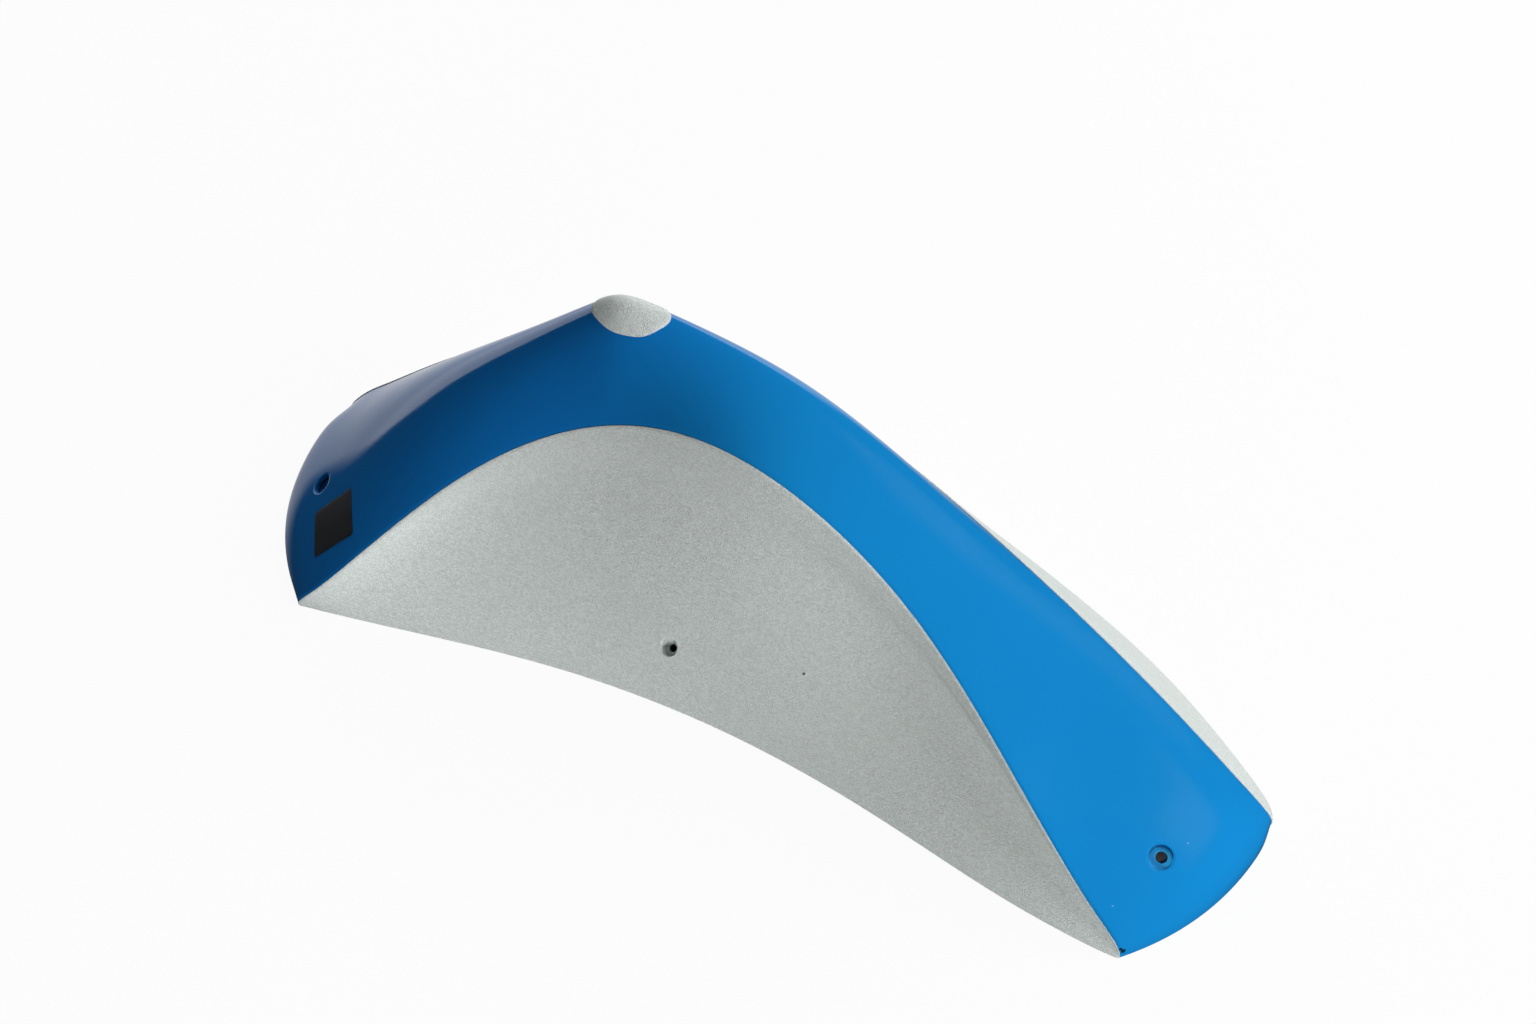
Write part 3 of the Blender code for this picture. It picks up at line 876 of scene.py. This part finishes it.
@dataclass(frozen=True)
class SteelFinish(Finish):
    """Zinc-plated steel with fine turning marks."""

    relief: ClassVar[float] = 0.00003
    dull: Colour = (0.42, 0.42, 0.40)

    def build(self, effects: SharedEffects) -> bpy.types.Material:
        """Build the material from the shared effects."""
        material, sheet, shader, where = self.start()
        shader.inputs["Metallic"].default_value = 1.0
        marks = self.effect(
            sheet, effects.handling, where, Smudge_Size=0.006, Scratch_Width=0.0003
        )
        smudge = marks.outputs["Smudge"]
        base = sheet.mix(smudge, rgba(self.colour), rgba(self.dull))
        worn = sheet.math("MULTIPLY", smudge, 0.2)
        self.wire(sheet, shader, base, marks.outputs["Scratch"], worn)
        return material


@dataclass
class ScrewHole:
    """One screw hole: where its mouth is, and how its lip, recess, cup and bore run."""

    mouth: np.ndarray
    axis: np.ndarray
    recess_radius: float
    recess_depth: float
    bore_radius: float
    lip: float
    slope: float = 0.15
    cup_radius: float = 0.0105
    cup_wall: float = 0.0035
    washer_radius: float = 0.0093
    washer_room: float = 0.0024
    reach: float = 0.02
    past_wall: float = 0.08
    segments: int = 72
    fine_edge: float = 0.00045
    play: float = 0.0001
    # Shift and colour of the paler recess floor, which is a painted highlight.
    highlight_shift: tuple[float, float, float] = (0.0, -0.0013, 0.0)
    highlight_colour: Colour = (0.030, 0.35, 0.72)

    def turned(self, surface: Surface, profile: Sequence[tuple[float, float]],
               slot: int = 0) -> None:
        """Add a turned solid round the hole's axis to a surface.

        Args:
            surface: Surface that takes the solid.
            profile: Pairs of radius and height, from the top of the axis to its bottom.
            slot: Material index of its faces.
        """
        turn = np.array(Vector(self.axis).to_track_quat("Z", "Y").to_matrix())
        angles = np.linspace(0, 2 * math.pi, self.segments + 1)
        radius, height = np.array(profile).T
        x = np.outer(np.cos(angles), radius)
        y = np.outer(np.sin(angles), radius)
        z = np.broadcast_to(height, x.shape)
        points = np.stack((x, y, z), axis=-1) @ turn.T + self.mouth
        surface.fill(surface.add(points), slot=slot, flip=True)

    def recess(self, surface: Surface, slot: int) -> None:
        """Add the cutter of recess, bore and washer room, with a rounded floor edge.

        Args:
            surface: Surface that takes the cutter.
            slot: Material index of its faces.
        """
        floor = -self.recess_depth
        foot = self.recess_radius - self.slope * self.recess_depth
        soft = 0.22 * (foot - self.bore_radius)
        profile = [(0.0, self.reach), (self.recess_radius, self.reach), (self.recess_radius, 0.0)]
        for k in range(5):
            turn = math.radians(90 * k / 4)
            radius = foot - soft * (1 - math.cos(turn))
            profile.append((radius, floor + soft * (1 - math.sin(turn))))
        edge = 0.12 * self.bore_radius
        top = floor - self.cup_wall - 0.0003
        low = top - self.washer_room
        profile += [(self.bore_radius + edge, floor), (self.bore_radius, floor - edge)]
        profile += [(self.bore_radius, top), (self.washer_radius, top)]
        profile += [(self.washer_radius, low), (self.bore_radius, low)]
        profile += [(self.bore_radius, -self.past_wall), (0.0, -self.past_wall)]
        self.turned(surface, profile, slot)

    def painted_floor_highlight(self) -> Mark:
        """Return the paler floor of the recess, a painted highlight set a little towards the
        front.
        """
        place = self.mouth - self.recess_depth * self.axis + np.array(self.highlight_shift)
        return Mark(plain(place), 1.3 * self.recess_radius, self.highlight_colour)

    def rod(self, surface: Surface, radius: float, low: float) -> None:
        """Add a round rod from above the mouth down to a height."""
        profile = [(0.0, self.reach), (radius, self.reach), (radius, low), (0.0, low)]
        self.turned(surface, profile)

    def mouth_cutter(self, surface: Surface) -> None:
        """Add the cutter that opens a coat over the recess."""
        self.rod(surface, self.recess_radius + self.play, -self.reach)

    def cup(self, surface: Surface) -> None:
        """Add the post of laminate that the recess is moulded into."""
        self.rod(surface, self.cup_radius, -self.recess_depth - self.cup_wall)

    def soften(self, mesh: bpy.types.Mesh) -> None:
        """Round the lip of the mouth in a mesh, before the recess is cut.

        Args:
            mesh: Mesh whose faces near the mouth are refined and drawn in.
        """
        axis = Vector(self.axis)
        mouth = Vector(self.mouth)
        outer = self.recess_radius + self.lip
        work = bmesh.new()
        work.from_mesh(mesh)
        work.normal_update()

        def near(vertex: bmesh.types.BMVert, radius: float) -> bool:
            """Say whether a vertex lies near the mouth and on the outside."""
            offset = vertex.co - mouth
            height = offset.dot(axis)
            across = (offset - height * axis).length
            return across < radius and abs(height) < 2.2 * outer and vertex.normal.dot(axis) > 0.1

        for _ in range(3):
            edges = {
                edge for vertex in work.verts if near(vertex, outer + 0.0015)
                for edge in vertex.link_edges if edge.calc_length() > 2 * self.fine_edge
            }
            if edges:
                bmesh.ops.subdivide_edges(work, edges=list(edges), cuts=1, use_grid_fill=True)
                work.normal_update()
        for vertex in work.verts:
            if near(vertex, outer):
                offset = vertex.co - mouth
                across = (offset - offset.dot(axis) * axis).length
                share = min(1.0, (outer - across) / self.lip)
                vertex.co -= vertex.normal * self.lip * (1 - math.sqrt(1 - 0.97 * share ** 2))
        work.to_mesh(mesh)
        work.free()


def combine(piece: bpy.types.Object, other: bpy.types.Object, operation: str) -> None:
    """Join or cut a piece with another object, and remove that object.

    Args:
        piece: The object that is changed.
        other: The object that is joined or cut away.
        operation: UNION or DIFFERENCE.
    """
    boolean = piece.modifiers.new(operation, "BOOLEAN")
    boolean.operation = operation
    boolean.solver = "EXACT"
    boolean.material_mode = "TRANSFER"
    boolean.object = other
    with bpy.context.temp_override(object=piece, active_object=piece):
        bpy.ops.object.modifier_apply(modifier=boolean.name)
    bpy.data.objects.remove(other, do_unlink=True)
    if not piece.data.polygons:
        raise RuntimeError(f"{piece.name} lost its faces in the {operation.lower()}")


@dataclass
class Shell:
    """The hollow laminate shell, gelcoated outside and raw inside."""

    form: HoldForm
    section: Section
    holes: dict[Side, ScrewHole]
    wall: float = 0.0048
    floor: float = -0.02
    unevenness: float = 0.0006

    def hollow(self, laminate: bpy.types.Material) -> bpy.types.Object:
        """Build the hollow of the shell, with the posts of the four recesses left standing.

        Args:
            laminate: Finish that the cut leaves inside the shell.

        Returns:
            A closed cutter.
        """
        inner = replace(self.form, wall=self.wall)
        grid = coarser(self.section, 0.6).grid(inner)
        normals = grid_normals(grid)
        fade = np.clip((grid[..., 2] - 0.004) / 0.02, 0, 1)
        bumps = np.array([
            noise.noise(Vector(point) * 110) + 0.5 * noise.noise(Vector(point) * 260)
            for point in grid.reshape(-1, 3)
        ]).reshape(fade.shape)
        grid = grid + normals * (self.unevenness * bumps * fade)[..., None]
        grid[(0, -1), :, 2] = grid[..., 2].min()
        surface = Surface("hollow")
        index = surface.add(grid)
        surface.fill(index)
        surface.close_below(index, 0, self.floor)
        piece = surface.piece((laminate,))
        for hole in self.holes.values():
            cups = Surface("cup")
            hole.cup(cups)
            combine(piece, cups.piece((laminate,)), "DIFFERENCE")
        return piece

    def build(self, gelcoat: bpy.types.Material, laminate: bpy.types.Material,
              grit: bpy.types.Material, painted_recess_shade: bpy.types.Material) -> bpy.types.Object:
        """Build the shell with its cups, recesses and bores.

        Args:
            gelcoat: Finish of the band.
            laminate: Finish of the inside and of the rim.
            grit: Finish of the faces under the coats and of their recesses.
            painted_recess_shade: Finish of the recesses in the band, a darker blue as painted
                shade.

        Returns:
            The dressed piece.
        """
        outer = self.section.grid(self.form)
        surface = Surface("gelcoat_shell")
        skin = surface.add(outer)
        columns = np.zeros(outer.shape[1] - 1, int)
        raw, sanded = 1, 2
        columns[:self.section.front_corner] = sanded
        columns[self.section.back_corner:] = sanded
        surface.fill(skin, slot=columns)
        surface.close_below(skin, raw)
        piece = surface.piece((gelcoat, laminate, grit), sharp=45)
        for hole in self.holes.values():
            hole.soften(piece.data)
        combine(piece, self.hollow(laminate), "DIFFERENCE")
        cutter = Surface("cutter")
        for side, hole in self.holes.items():
            hole.recess(cutter, slot=0 if side in (Side.LEFT, Side.RIGHT) else 1)
        combine(piece, cutter.piece((painted_recess_shade, grit)), "DIFFERENCE")
        piece.data.set_sharp_from_angle(angle=math.radians(40))
        return piece


@dataclass
class Skin:
    """A thin layer over part of the form, thinner towards its border."""

    name: str
    gap: float = 0.0001
    thickness: float = 0.0007
    border: float = 0.0003
    border_width: float = 0.0012

    def build(self, grid: np.ndarray, normals: np.ndarray, distance: np.ndarray,
              finish: bpy.types.Material, ring: bool = False) -> bpy.types.Object:
        """Build the layer.

        Args:
            grid: Points of the form under the layer.
            normals: Outward normals at the points.
            distance: Distance of each point from the border of the layer.
            finish: Its material.
            ring: Whether the rows run out from a centre, so that the last column is the border.

        Returns:
            A closed piece.
        """
        rounding = 1 - np.exp(-distance / self.border_width)
        height = self.gap + self.border + (self.thickness - self.border) * rounding
        surface = Surface(self.name)
        top = surface.add(grid + normals * height[..., None])
        bottom = surface.add(grid + normals * self.gap)
        surface.fill(top)
        surface.fill(bottom, flip=True)
        if ring:
            surface.fill(np.stack((top[:, -1], bottom[:, -1]), axis=1))
        else:
            surface.fill(np.stack((around(bottom), around(top)), axis=1), flip=True)
        return surface.piece((finish,), sharp=50)


def path_length(points: np.ndarray, axis: int) -> np.ndarray:
    """Return the running length along an axis of a grid of points."""
    steps = np.linalg.norm(np.diff(points, axis=axis), axis=-1)
    zero = np.zeros_like(np.take(steps, [0], axis=axis))
    return np.concatenate((zero, np.cumsum(steps, axis=axis)), axis=axis)


@dataclass
class GripCoats:
    """The rough coats of the front face, the back face and the tip."""

    form: HoldForm
    section: Section
    holes: dict[Side, ScrewHole]
    foot_lift: float = 0.0006
    end_rows: int = 2
    tip_centre: tuple[float, float] = (-0.230, 0.50)
    tip_half: tuple[float, float] = (0.0525, 0.25)

    def face_coat(self, name: str, first: int, last: int, hole: ScrewHole,
                  finish: bpy.types.Material) -> bpy.types.Object:
        """Build the coat of one steep face.

        Args:
            name: Name of the piece.
            first: First column of the section that the coat covers.
            last: Last column of the section that the coat covers.
            hole: Screw hole that the coat leaves open.
            finish: Its material.

        Returns:
            A closed piece.
        """
        whole = self.section.grid(self.form)
        normals = grid_normals(whole)
        grid = whole[self.end_rows:-self.end_rows, first:last + 1].copy()
        normals = normals[self.end_rows:-self.end_rows, first:last + 1]
        foot = 0 if first == 0 else -1
        neighbour = 1 if first == 0 else -2
        rise = grid[:, neighbour] - grid[:, foot]
        lift = np.minimum(self.foot_lift, 0.4 * np.linalg.norm(rise, axis=-1))
        grid[:, foot] += unit(rise) * lift[:, None]
        across = path_length(grid, 1)
        along = path_length(grid, 0)
        distance = np.minimum(across, across[:, -1:] - across)
        distance = np.minimum(distance, np.minimum(along, along[-1:] - along))
        piece = Skin(name).build(grid, normals, distance, finish)
        cutter = Surface("mouth")
        hole.mouth_cutter(cutter)
        combine(piece, cutter.piece((finish,)), "DIFFERENCE")
        piece.data.set_sharp_from_angle(angle=math.radians(50))
        return piece

    def tip_coat(self, finish: bpy.types.Material) -> bpy.types.Object:
        """Build the small oval coat of the tip.

        Args:
            finish: Its material.

        Returns:
            A closed piece.
        """
        turns, rings = 120, 26
        turn = np.linspace(0, 2 * math.pi, turns + 1)[:, None]
        reach = np.linspace(0, 1, rings)[None, :]
        wobble = 1 + 0.012 * np.sin(3 * turn + 0.6) + 0.008 * np.sin(7 * turn)
        q = self.tip_centre[0] + self.tip_half[0] * reach * wobble * np.cos(turn)
        share = self.tip_centre[1] - self.tip_half[1] * reach * wobble * np.sin(turn)
        grid = self.form.band(q, share)
        step = 1e-3
        along = self.form.band(q + step, share) - self.form.band(q - step, share)
        across = self.form.band(q, share + step) - self.form.band(q, share - step)
        normals = unit(np.cross(along, across))
        length = path_length(grid, 1)
        distance = length[:, -1:] - length
        layer = Skin("tip_grip", thickness=0.0009, border=0.0004, border_width=0.0009)
        return layer.build(grid, normals, distance, finish, ring=True)

    def build(self, finish: bpy.types.Material) -> list[bpy.types.Object]:
        """Build the three coats.

        Args:
            finish: Their material.

        Returns:
            The pieces for front, back and tip.
        """
        last = self.section.grid(self.form).shape[1] - 1
        front, back = self.section.front_corner, self.section.back_corner
        return [
            self.face_coat("front_grip", 0, front, self.holes[Side.FRONT], finish),
            self.face_coat("back_grip", back, last, self.holes[Side.BACK], finish),
            self.tip_coat(finish),
        ]


@dataclass
class BlankLabel:
    """The blank square label near the left end."""

    form: HoldForm
    place: tuple[float, float] = (-0.7333, 0.1608)
    side: float = 0.032
    corner: float = 0.0012
    steps: int = 40

    def drop(self, points: np.ndarray, direction: np.ndarray) -> tuple[np.ndarray, np.ndarray]:
        """Drop points onto the band along a direction.

        Args:
            points: Grid of points near the band.
            direction: Unit vector to drop them along.

        Returns:
            Stations and shares of the points where they meet the band.
        """
        q = np.full(points.shape[:2], self.place[0])
        share = np.full(points.shape[:2], self.place[1])
        step = 5e-4
        for _ in range(6):
            here = self.form.band(q, share)
            along = (self.form.band(q + step, share) - here) / step
            across = (self.form.band(q, share + step) - here) / step
            fall = np.broadcast_to(-direction, along.shape)
            system = np.stack((along, across, fall), axis=-1)
            change = np.linalg.solve(system, (points - here)[..., None])[..., 0]
            q = q + change[..., 0]
            share = share + change[..., 1]
        return q, share

    def build(self, finish: bpy.types.Material) -> bpy.types.Object:
        """Build the label.

        Args:
            finish: Its material.

        Returns:
            A closed piece.
        """
        centre = self.form.at(self.form.band, *self.place)
        outward = self.form.outward(self.form.band, *self.place)
        level = unit(np.cross((0.0, 0.0, 1.0), outward))
        slope = np.cross(outward, level)
        half = self.side / 2
        run = np.linspace(-half, half, self.steps)
        a, b = np.meshgrid(run, run, indexing="ij")
        over = np.maximum(np.abs(a), np.abs(b)) / half
        squeeze = np.maximum(np.abs(a) + np.abs(b) - 2 * half + self.corner, 0) * over / 2
        a = a - np.sign(a) * squeeze
        b = b - np.sign(b) * squeeze
        points = centre + a[..., None] * level + b[..., None] * slope
        q, share = self.drop(points, outward)
        grid = self.form.band(q, share)
        distance = half - np.maximum(np.abs(a), np.abs(b))
        normals = np.broadcast_to(outward, grid.shape)
        layer = Skin("label", gap=0.00005, thickness=0.0003, border=0.0002, border_width=0.0003)
        return layer.build(grid, normals, distance, finish)


@dataclass(frozen=True)
class Lamp:
    """A soft lamp: where it hangs, how bright it is, how wide and how high."""

    name: str
    azimuth: float
    elevation: float
    level: float
    width: float
    height: float
    distance: float = 4.0

    def hang(self) -> None:
        """Hang the lamp, and keep it out of the reflections in the gloss."""
        turn = math.radians(self.azimuth)
        rise = math.radians(self.elevation)
        towards = Vector((
            math.sin(turn) * math.cos(rise), -math.cos(turn) * math.cos(rise), math.sin(rise)
        ))
        data = bpy.data.lights.new(self.name, "AREA")
        data.shape = "RECTANGLE"
        data.size = self.width
        data.size_y = self.height
        data.energy = self.level * (math.pi * self.distance) ** 2
        lamp = linked(self.name, data)
        lamp.location = self.distance * towards
        lamp.rotation_euler = towards.to_track_quat("Z", "Y").to_euler()
        lamp.visible_glossy = False


@dataclass
class Studio:
    """Camera, pale floor and soft light."""

    azimuth: float = 25.25
    elevation: float = 55.0
    viewpoint: tuple[float, float, float] = (0.2366, -0.5080, 0.8886)
    lens: float = 42.1875
    sensor: float = 36.0
    floor_radius: float = 4.0
    floor_drop: float = 0.0004
    floor_paint: float = 0.9
    floor_glow: float = 0.94
    # Brightness of the floor in reflections near the hold: a painted shadow of the hold.
    painted_shadow_glow: float = 0.6
    floor_bounce: float = 0.15
    ambient: float = 0.02
    dark_room: float = 0.015
    far_edge: float = -97.5
    floor_edges: tuple[tuple[float, float, float], ...] = (
        (-0.43, -0.007, -99.4), (-0.43, -0.007, -119.5)
    )
    lamps: tuple[Lamp, ...] = (
        Lamp("key", 135.0, 39.0, 0.585, 2.0, 2.0),
        Lamp("side", 90.0, 31.0, 0.46, 1.6, 1.6),
        Lamp("front_fill", 24.0, 7.0, 0.60, 2.4, 0.8),
        Lamp("rear_fill", -141.0, 14.0, 0.51, 1.4, 1.4),
    )

    def build(self) -> None:
        """Build the whole studio."""
        self.camera()
        self.world()
        self.floor()
        for lamp in self.lamps:
            lamp.hang()
        bpy.context.scene.view_settings.view_transform = "Standard"

    def camera(self) -> None:
        """Place the camera at the photograph's viewing angle."""
        azimuth = math.radians(self.azimuth)
        elevation = math.radians(self.elevation)
        right = Vector((math.cos(azimuth), math.sin(azimuth), 0))
        back = Vector((
            math.sin(azimuth) * math.cos(elevation),
            -math.cos(azimuth) * math.cos(elevation),
            math.sin(elevation),
        ))
        up = back.cross(right)
        data = bpy.data.cameras.new("camera")
        data.lens = self.lens
        data.sensor_width = self.sensor
        data.clip_start = 0.01
        camera = linked("camera", data)
        turn = Matrix((right, up, back)).transposed().to_4x4()
        camera.matrix_world = Matrix.Translation(Vector(self.viewpoint)) @ turn
        bpy.context.scene.camera = camera

    def seen_directly(self, sheet: NodeSheet, path) -> bpy.types.NodeSocket:
        """Return 1 for rays that the camera sends, straight or through a clear piece."""
        return sheet.math("MAXIMUM", path["Is Camera Ray"], path["Is Transmission Ray"])

    def beyond(self, sheet: NodeSheet, x, y, azimuth: float) -> bpy.types.NodeSocket:
        """Return a mask of what lies beyond an edge that runs away from the object.

        Args:
            sheet: Node sheet of the world or of the floor.
            x: The x of a direction, or of a place counted from a point of the edge.
            y: The y that belongs to it.
            azimuth: Direction of the edge in degrees, from the front to the left below zero.

        Returns:
            1 behind the edge and 0 in front of it.
        """
        turn = math.radians(azimuth)
        side = sheet.math("MULTIPLY", x, -math.cos(turn))
        side = sheet.math("MULTIPLY_ADD", y, -math.sin(turn), side)
        return sheet.ramp(side, -0.012, 0.02)

    def world(self) -> None:
        """Light the room, white to the camera, and mirrored white on its bright side only."""
        world = bpy.data.worlds.new("studio")
        world.use_nodes = True
        bpy.context.scene.world = world
        tree = world.node_tree
        tree.nodes.clear()
        sheet = NodeSheet(tree)
        path = sheet.add("LightPath").outputs
        axes = sheet.axes(sheet.add("TexCoord").outputs["Generated"])
        bright = self.beyond(sheet, axes["X"], axes["Y"], self.far_edge)
        bright = sheet.math("MULTIPLY", bright, sheet.ramp(axes["X"], -0.05, 0.15, 1.0, 0.0))
        bright = sheet.math("MULTIPLY", bright, sheet.ramp(axes["Z"], 0.12, 0.26, 1.0, 0.0))
        reflected = sheet.mix(bright, grey(self.dark_room), grey(1.0))
        seen = sheet.mix(path["Is Glossy Ray"], grey(1.0), reflected)
        shown = sheet.math("MAXIMUM", self.seen_directly(sheet, path), path["Is Glossy Ray"])
        colour = sheet.mix(shown, grey(self.ambient), seen)
        background = sheet.add("Background", Color=colour, Strength=1.0)
        output = sheet.add("OutputWorld")
        sheet.feed(output, "Surface", background.outputs[0])

    def floor(self) -> None:
        """Lay a round pale floor that keeps a soft part of the shadow."""
        data = bpy.data.meshes.new("floor")
        disc = bmesh.new()
        bmesh.ops.create_circle(disc, cap_ends=True, segments=96, radius=self.floor_radius)
        disc.to_mesh(data)
        disc.free()
        floor = linked("floor", data)
        floor.location.z = -self.floor_drop
        material = bpy.data.materials.new("white_floor")
        material.use_nodes = True
        tree = material.node_tree
        tree.nodes.clear()
        sheet = NodeSheet(tree)
        path = sheet.add("LightPath").outputs
        axes = sheet.axes(sheet.add("NewGeometry").outputs["Position"])
        bright = 0.0
        for x, y, azimuth in self.floor_edges:
            across = sheet.math("SUBTRACT", axes["X"], x)
            along = sheet.math("SUBTRACT", axes["Y"], y)
            edge = self.beyond(sheet, across, along, azimuth)
            bright = sheet.math("MAXIMUM", bright, edge)
        bright = sheet.math("MULTIPLY", bright, sheet.ramp(axes["X"], 0.0, 0.2, 1.0, 0.0))
        # In reflections the floor is painted darker near the hold, as the hold's painted shadow.
        nearness = sheet.ramp(axes["X"], -0.8, -0.42)
        white = sheet.mix(nearness, grey(1.0), grey(self.painted_shadow_glow))
        reflected = sheet.mix(bright, grey(self.dark_room), white)
        mirrored = sheet.mix(path["Is Glossy Ray"], grey(1.0), reflected)
        paint = sheet.mix(path["Is Diffuse Ray"], grey(self.floor_paint), grey(self.floor_bounce))
        paper = sheet.add("BsdfDiffuse", Color=paint)
        glow = sheet.add("Emission", Color=mirrored, Strength=1.0)
        shown = sheet.math("MULTIPLY", self.seen_directly(sheet, path), self.floor_glow)
        shown = sheet.math("MAXIMUM", shown, path["Is Glossy Ray"])
        covered = sheet.add("AmbientOcclusion", {"samples": 8}, Distance=0.3)
        shown = sheet.math("MULTIPLY", shown, sheet.ramp(covered.outputs["AO"], 0.02, 0.2))
        mixed = sheet.add("MixShader")
        sheet.feed(mixed, 0, shown)
        sheet.feed(mixed, 1, paper.outputs[0])
        sheet.feed(mixed, 2, glow.outputs[0])
        output = sheet.add("OutputMaterial")
        sheet.feed(output, "Surface", mixed.outputs[0])
        data.materials.append(material)


@dataclass
class PinchHold:
    """The whole hold, piece by piece."""

    form: HoldForm = field(default_factory=HoldForm)
    section: Section = field(default_factory=Section)
    screw_lean: float = 28.0

    def place_form(self) -> None:
        """Move the form to the part's frame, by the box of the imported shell."""
        low, high = (np.array(corner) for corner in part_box("shell"))
        q = np.linspace(-1, 1, 400)[:, None]
        share = np.linspace(0, 1, 60)[None, :]
        band = self.form.band(q + 0 * share, share + 0 * q)
        foot, _, _, _, back_foot = self.form.guides(q[:, 0])
        left = band[..., 0].min()
        right = band[..., 0].max()
        middle = 0.5 * (low[0] + high[0]) - 0.5 * (left + right)
        depth = high[1] - back_foot[:, 1].max()
        self.form.origin = np.array((middle, depth, low[2]))

    def holes(self) -> dict[Side, ScrewHole]:
        """Return the four screw holes."""
        form = self.form
        lean = math.radians(self.screw_lean)
        forward = np.array((0.0, -math.sin(lean), math.cos(lean)))
        backward = forward * (1.0, -1.0, 1.0)
        left = (-0.783, 0.38)
        outward = form.outward(form.band, *left)
        end = dict(recess_radius=0.0066, recess_depth=0.0034, bore_radius=0.003, lip=0.0005,
                   slope=0.08)
        steep = dict(recess_radius=0.0052, recess_depth=0.0078, bore_radius=0.00225, lip=0.0012,
                     cup_radius=0.0085, cup_wall=0.0047)
        return {
            Side.LEFT: ScrewHole(form.at(form.band, *left), outward, **end),
            Side.RIGHT: ScrewHole(form.at(form.band, 0.747, 0.31), forward, **end),
            Side.FRONT: ScrewHole(form.at(form.front, -0.087, 0.225), forward, **steep),
            Side.BACK: ScrewHole(form.at(form.back, -0.05, 0.75), backward, **steep),
        }

    def keep(self, piece: bpy.types.Object, slot: Slot, *nodes: str) -> None:
        """Fasten a piece to the body, and let it stand for its nodes."""
        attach(piece, BODY)
        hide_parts(*nodes)
        log.info("%s: %d faces, for %s", piece.name, len(piece.data.polygons), ", ".join(nodes))

    def dress(self, node: str, finish: bpy.types.Material) -> None:
        """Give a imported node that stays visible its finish."""
        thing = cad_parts[node]
        thing.data.materials.clear()
        thing.data.materials.append(finish)
        log.info("%s: kept, finished with %s", node, finish.name)

    def mark(self, surface: Callable, place: tuple[float, float], size: float, colour: Colour,
             depth: float = 0.0) -> Mark:
        """Return a mark at a place of one of the form's surfaces.

        Args:
            surface: The form's method band or front.
            place: Station and share.
            size: Radius of the mark.
            colour: Its colour.
            depth: How deep its bump goes.

        Returns:
            The mark.
        """
        return Mark(plain(self.form.at(surface, *place)), size, colour, depth)

    def build(self) -> None:
        """Build and dress every piece."""
        self.place_form()
        effects = SharedEffects(grain_group(), handling_group())
        band, front = self.form.band, self.form.front
        chip, speck = (0.004, 0.022, 0.055), (0.16, 0.40, 0.68)
        marks = (
            self.mark(band, (0.949, 0.019), 0.0019, chip, 0.6),
            self.mark(band, (0.930, 0.012), 0.0013, chip, 0.6),
            self.mark(band, (0.7591, 0.459), 0.0006, speck),
            self.mark(band, (0.7719, 0.063), 0.0006, speck),
        )
        pit = self.mark(front, (0.1221, 0.371), 0.0013, (0.22, 0.25, 0.24), 3.0)
        blue = (0.0064, 0.243, 0.62)
        gelcoat = GelcoatFinish("blue_gelcoat", blue, 0.09, marks).build(effects)
        holes = self.holes()
        floor_highlights = tuple(hole.painted_floor_highlight() for hole in (holes[Side.LEFT], holes[Side.RIGHT]))
        # The end recesses get a darker blue as painted shade, and their floors a paler blue as a
        # painted highlight.
        painted_recess_shade = GelcoatFinish("blue_painted_recess_shade", (0.003, 0.09, 0.27), 0.35, floor_highlights).build(effects)
        grit = GritFinish("sand_grip", (0.72, 0.775, 0.755), 0.85, pit).build(effects)
        film = FilmFinish("black_film", (0.018, 0.020, 0.026), 0.38).build(effects)
        laminate = LaminateFinish("raw_laminate", (0.36, 0.42, 0.40), 0.35).build(effects)
        resin = ResinFinish("filled_resin", (0.50, 0.44, 0.32), 0.7).build(effects)
        steel = SteelFinish("zinc_steel", (0.62, 0.62, 0.60), 0.3).build(effects)
        shell = Shell(self.form, self.section, holes).build(gelcoat, laminate, grit, painted_recess_shade)
        self.keep(shell, Slot.GELCOAT, "shell")
        coats = GripCoats(self.form, self.section, holes).build(grit)
        for piece, node in zip(coats, ("front_grip_coat", "back_grip_coat", "tip_grip_coat")):
            self.keep(piece, Slot.GRIT, node)
        self.keep(BlankLabel(self.form).build(film), Slot.FILM, "blank_label")
        for side in Side:
            self.dress(f"screw_boss_{side.value}", resin)
            self.dress(f"screw_washer_{side.value}", steel)


def main() -> None:
    """Build the hold and its studio, and report each piece."""
    logging.basicConfig(level=logging.INFO, format="%(name)s: %(message)s")
    PinchHold().build()
    Studio().build()


if __name__ == "__main__":
    main()
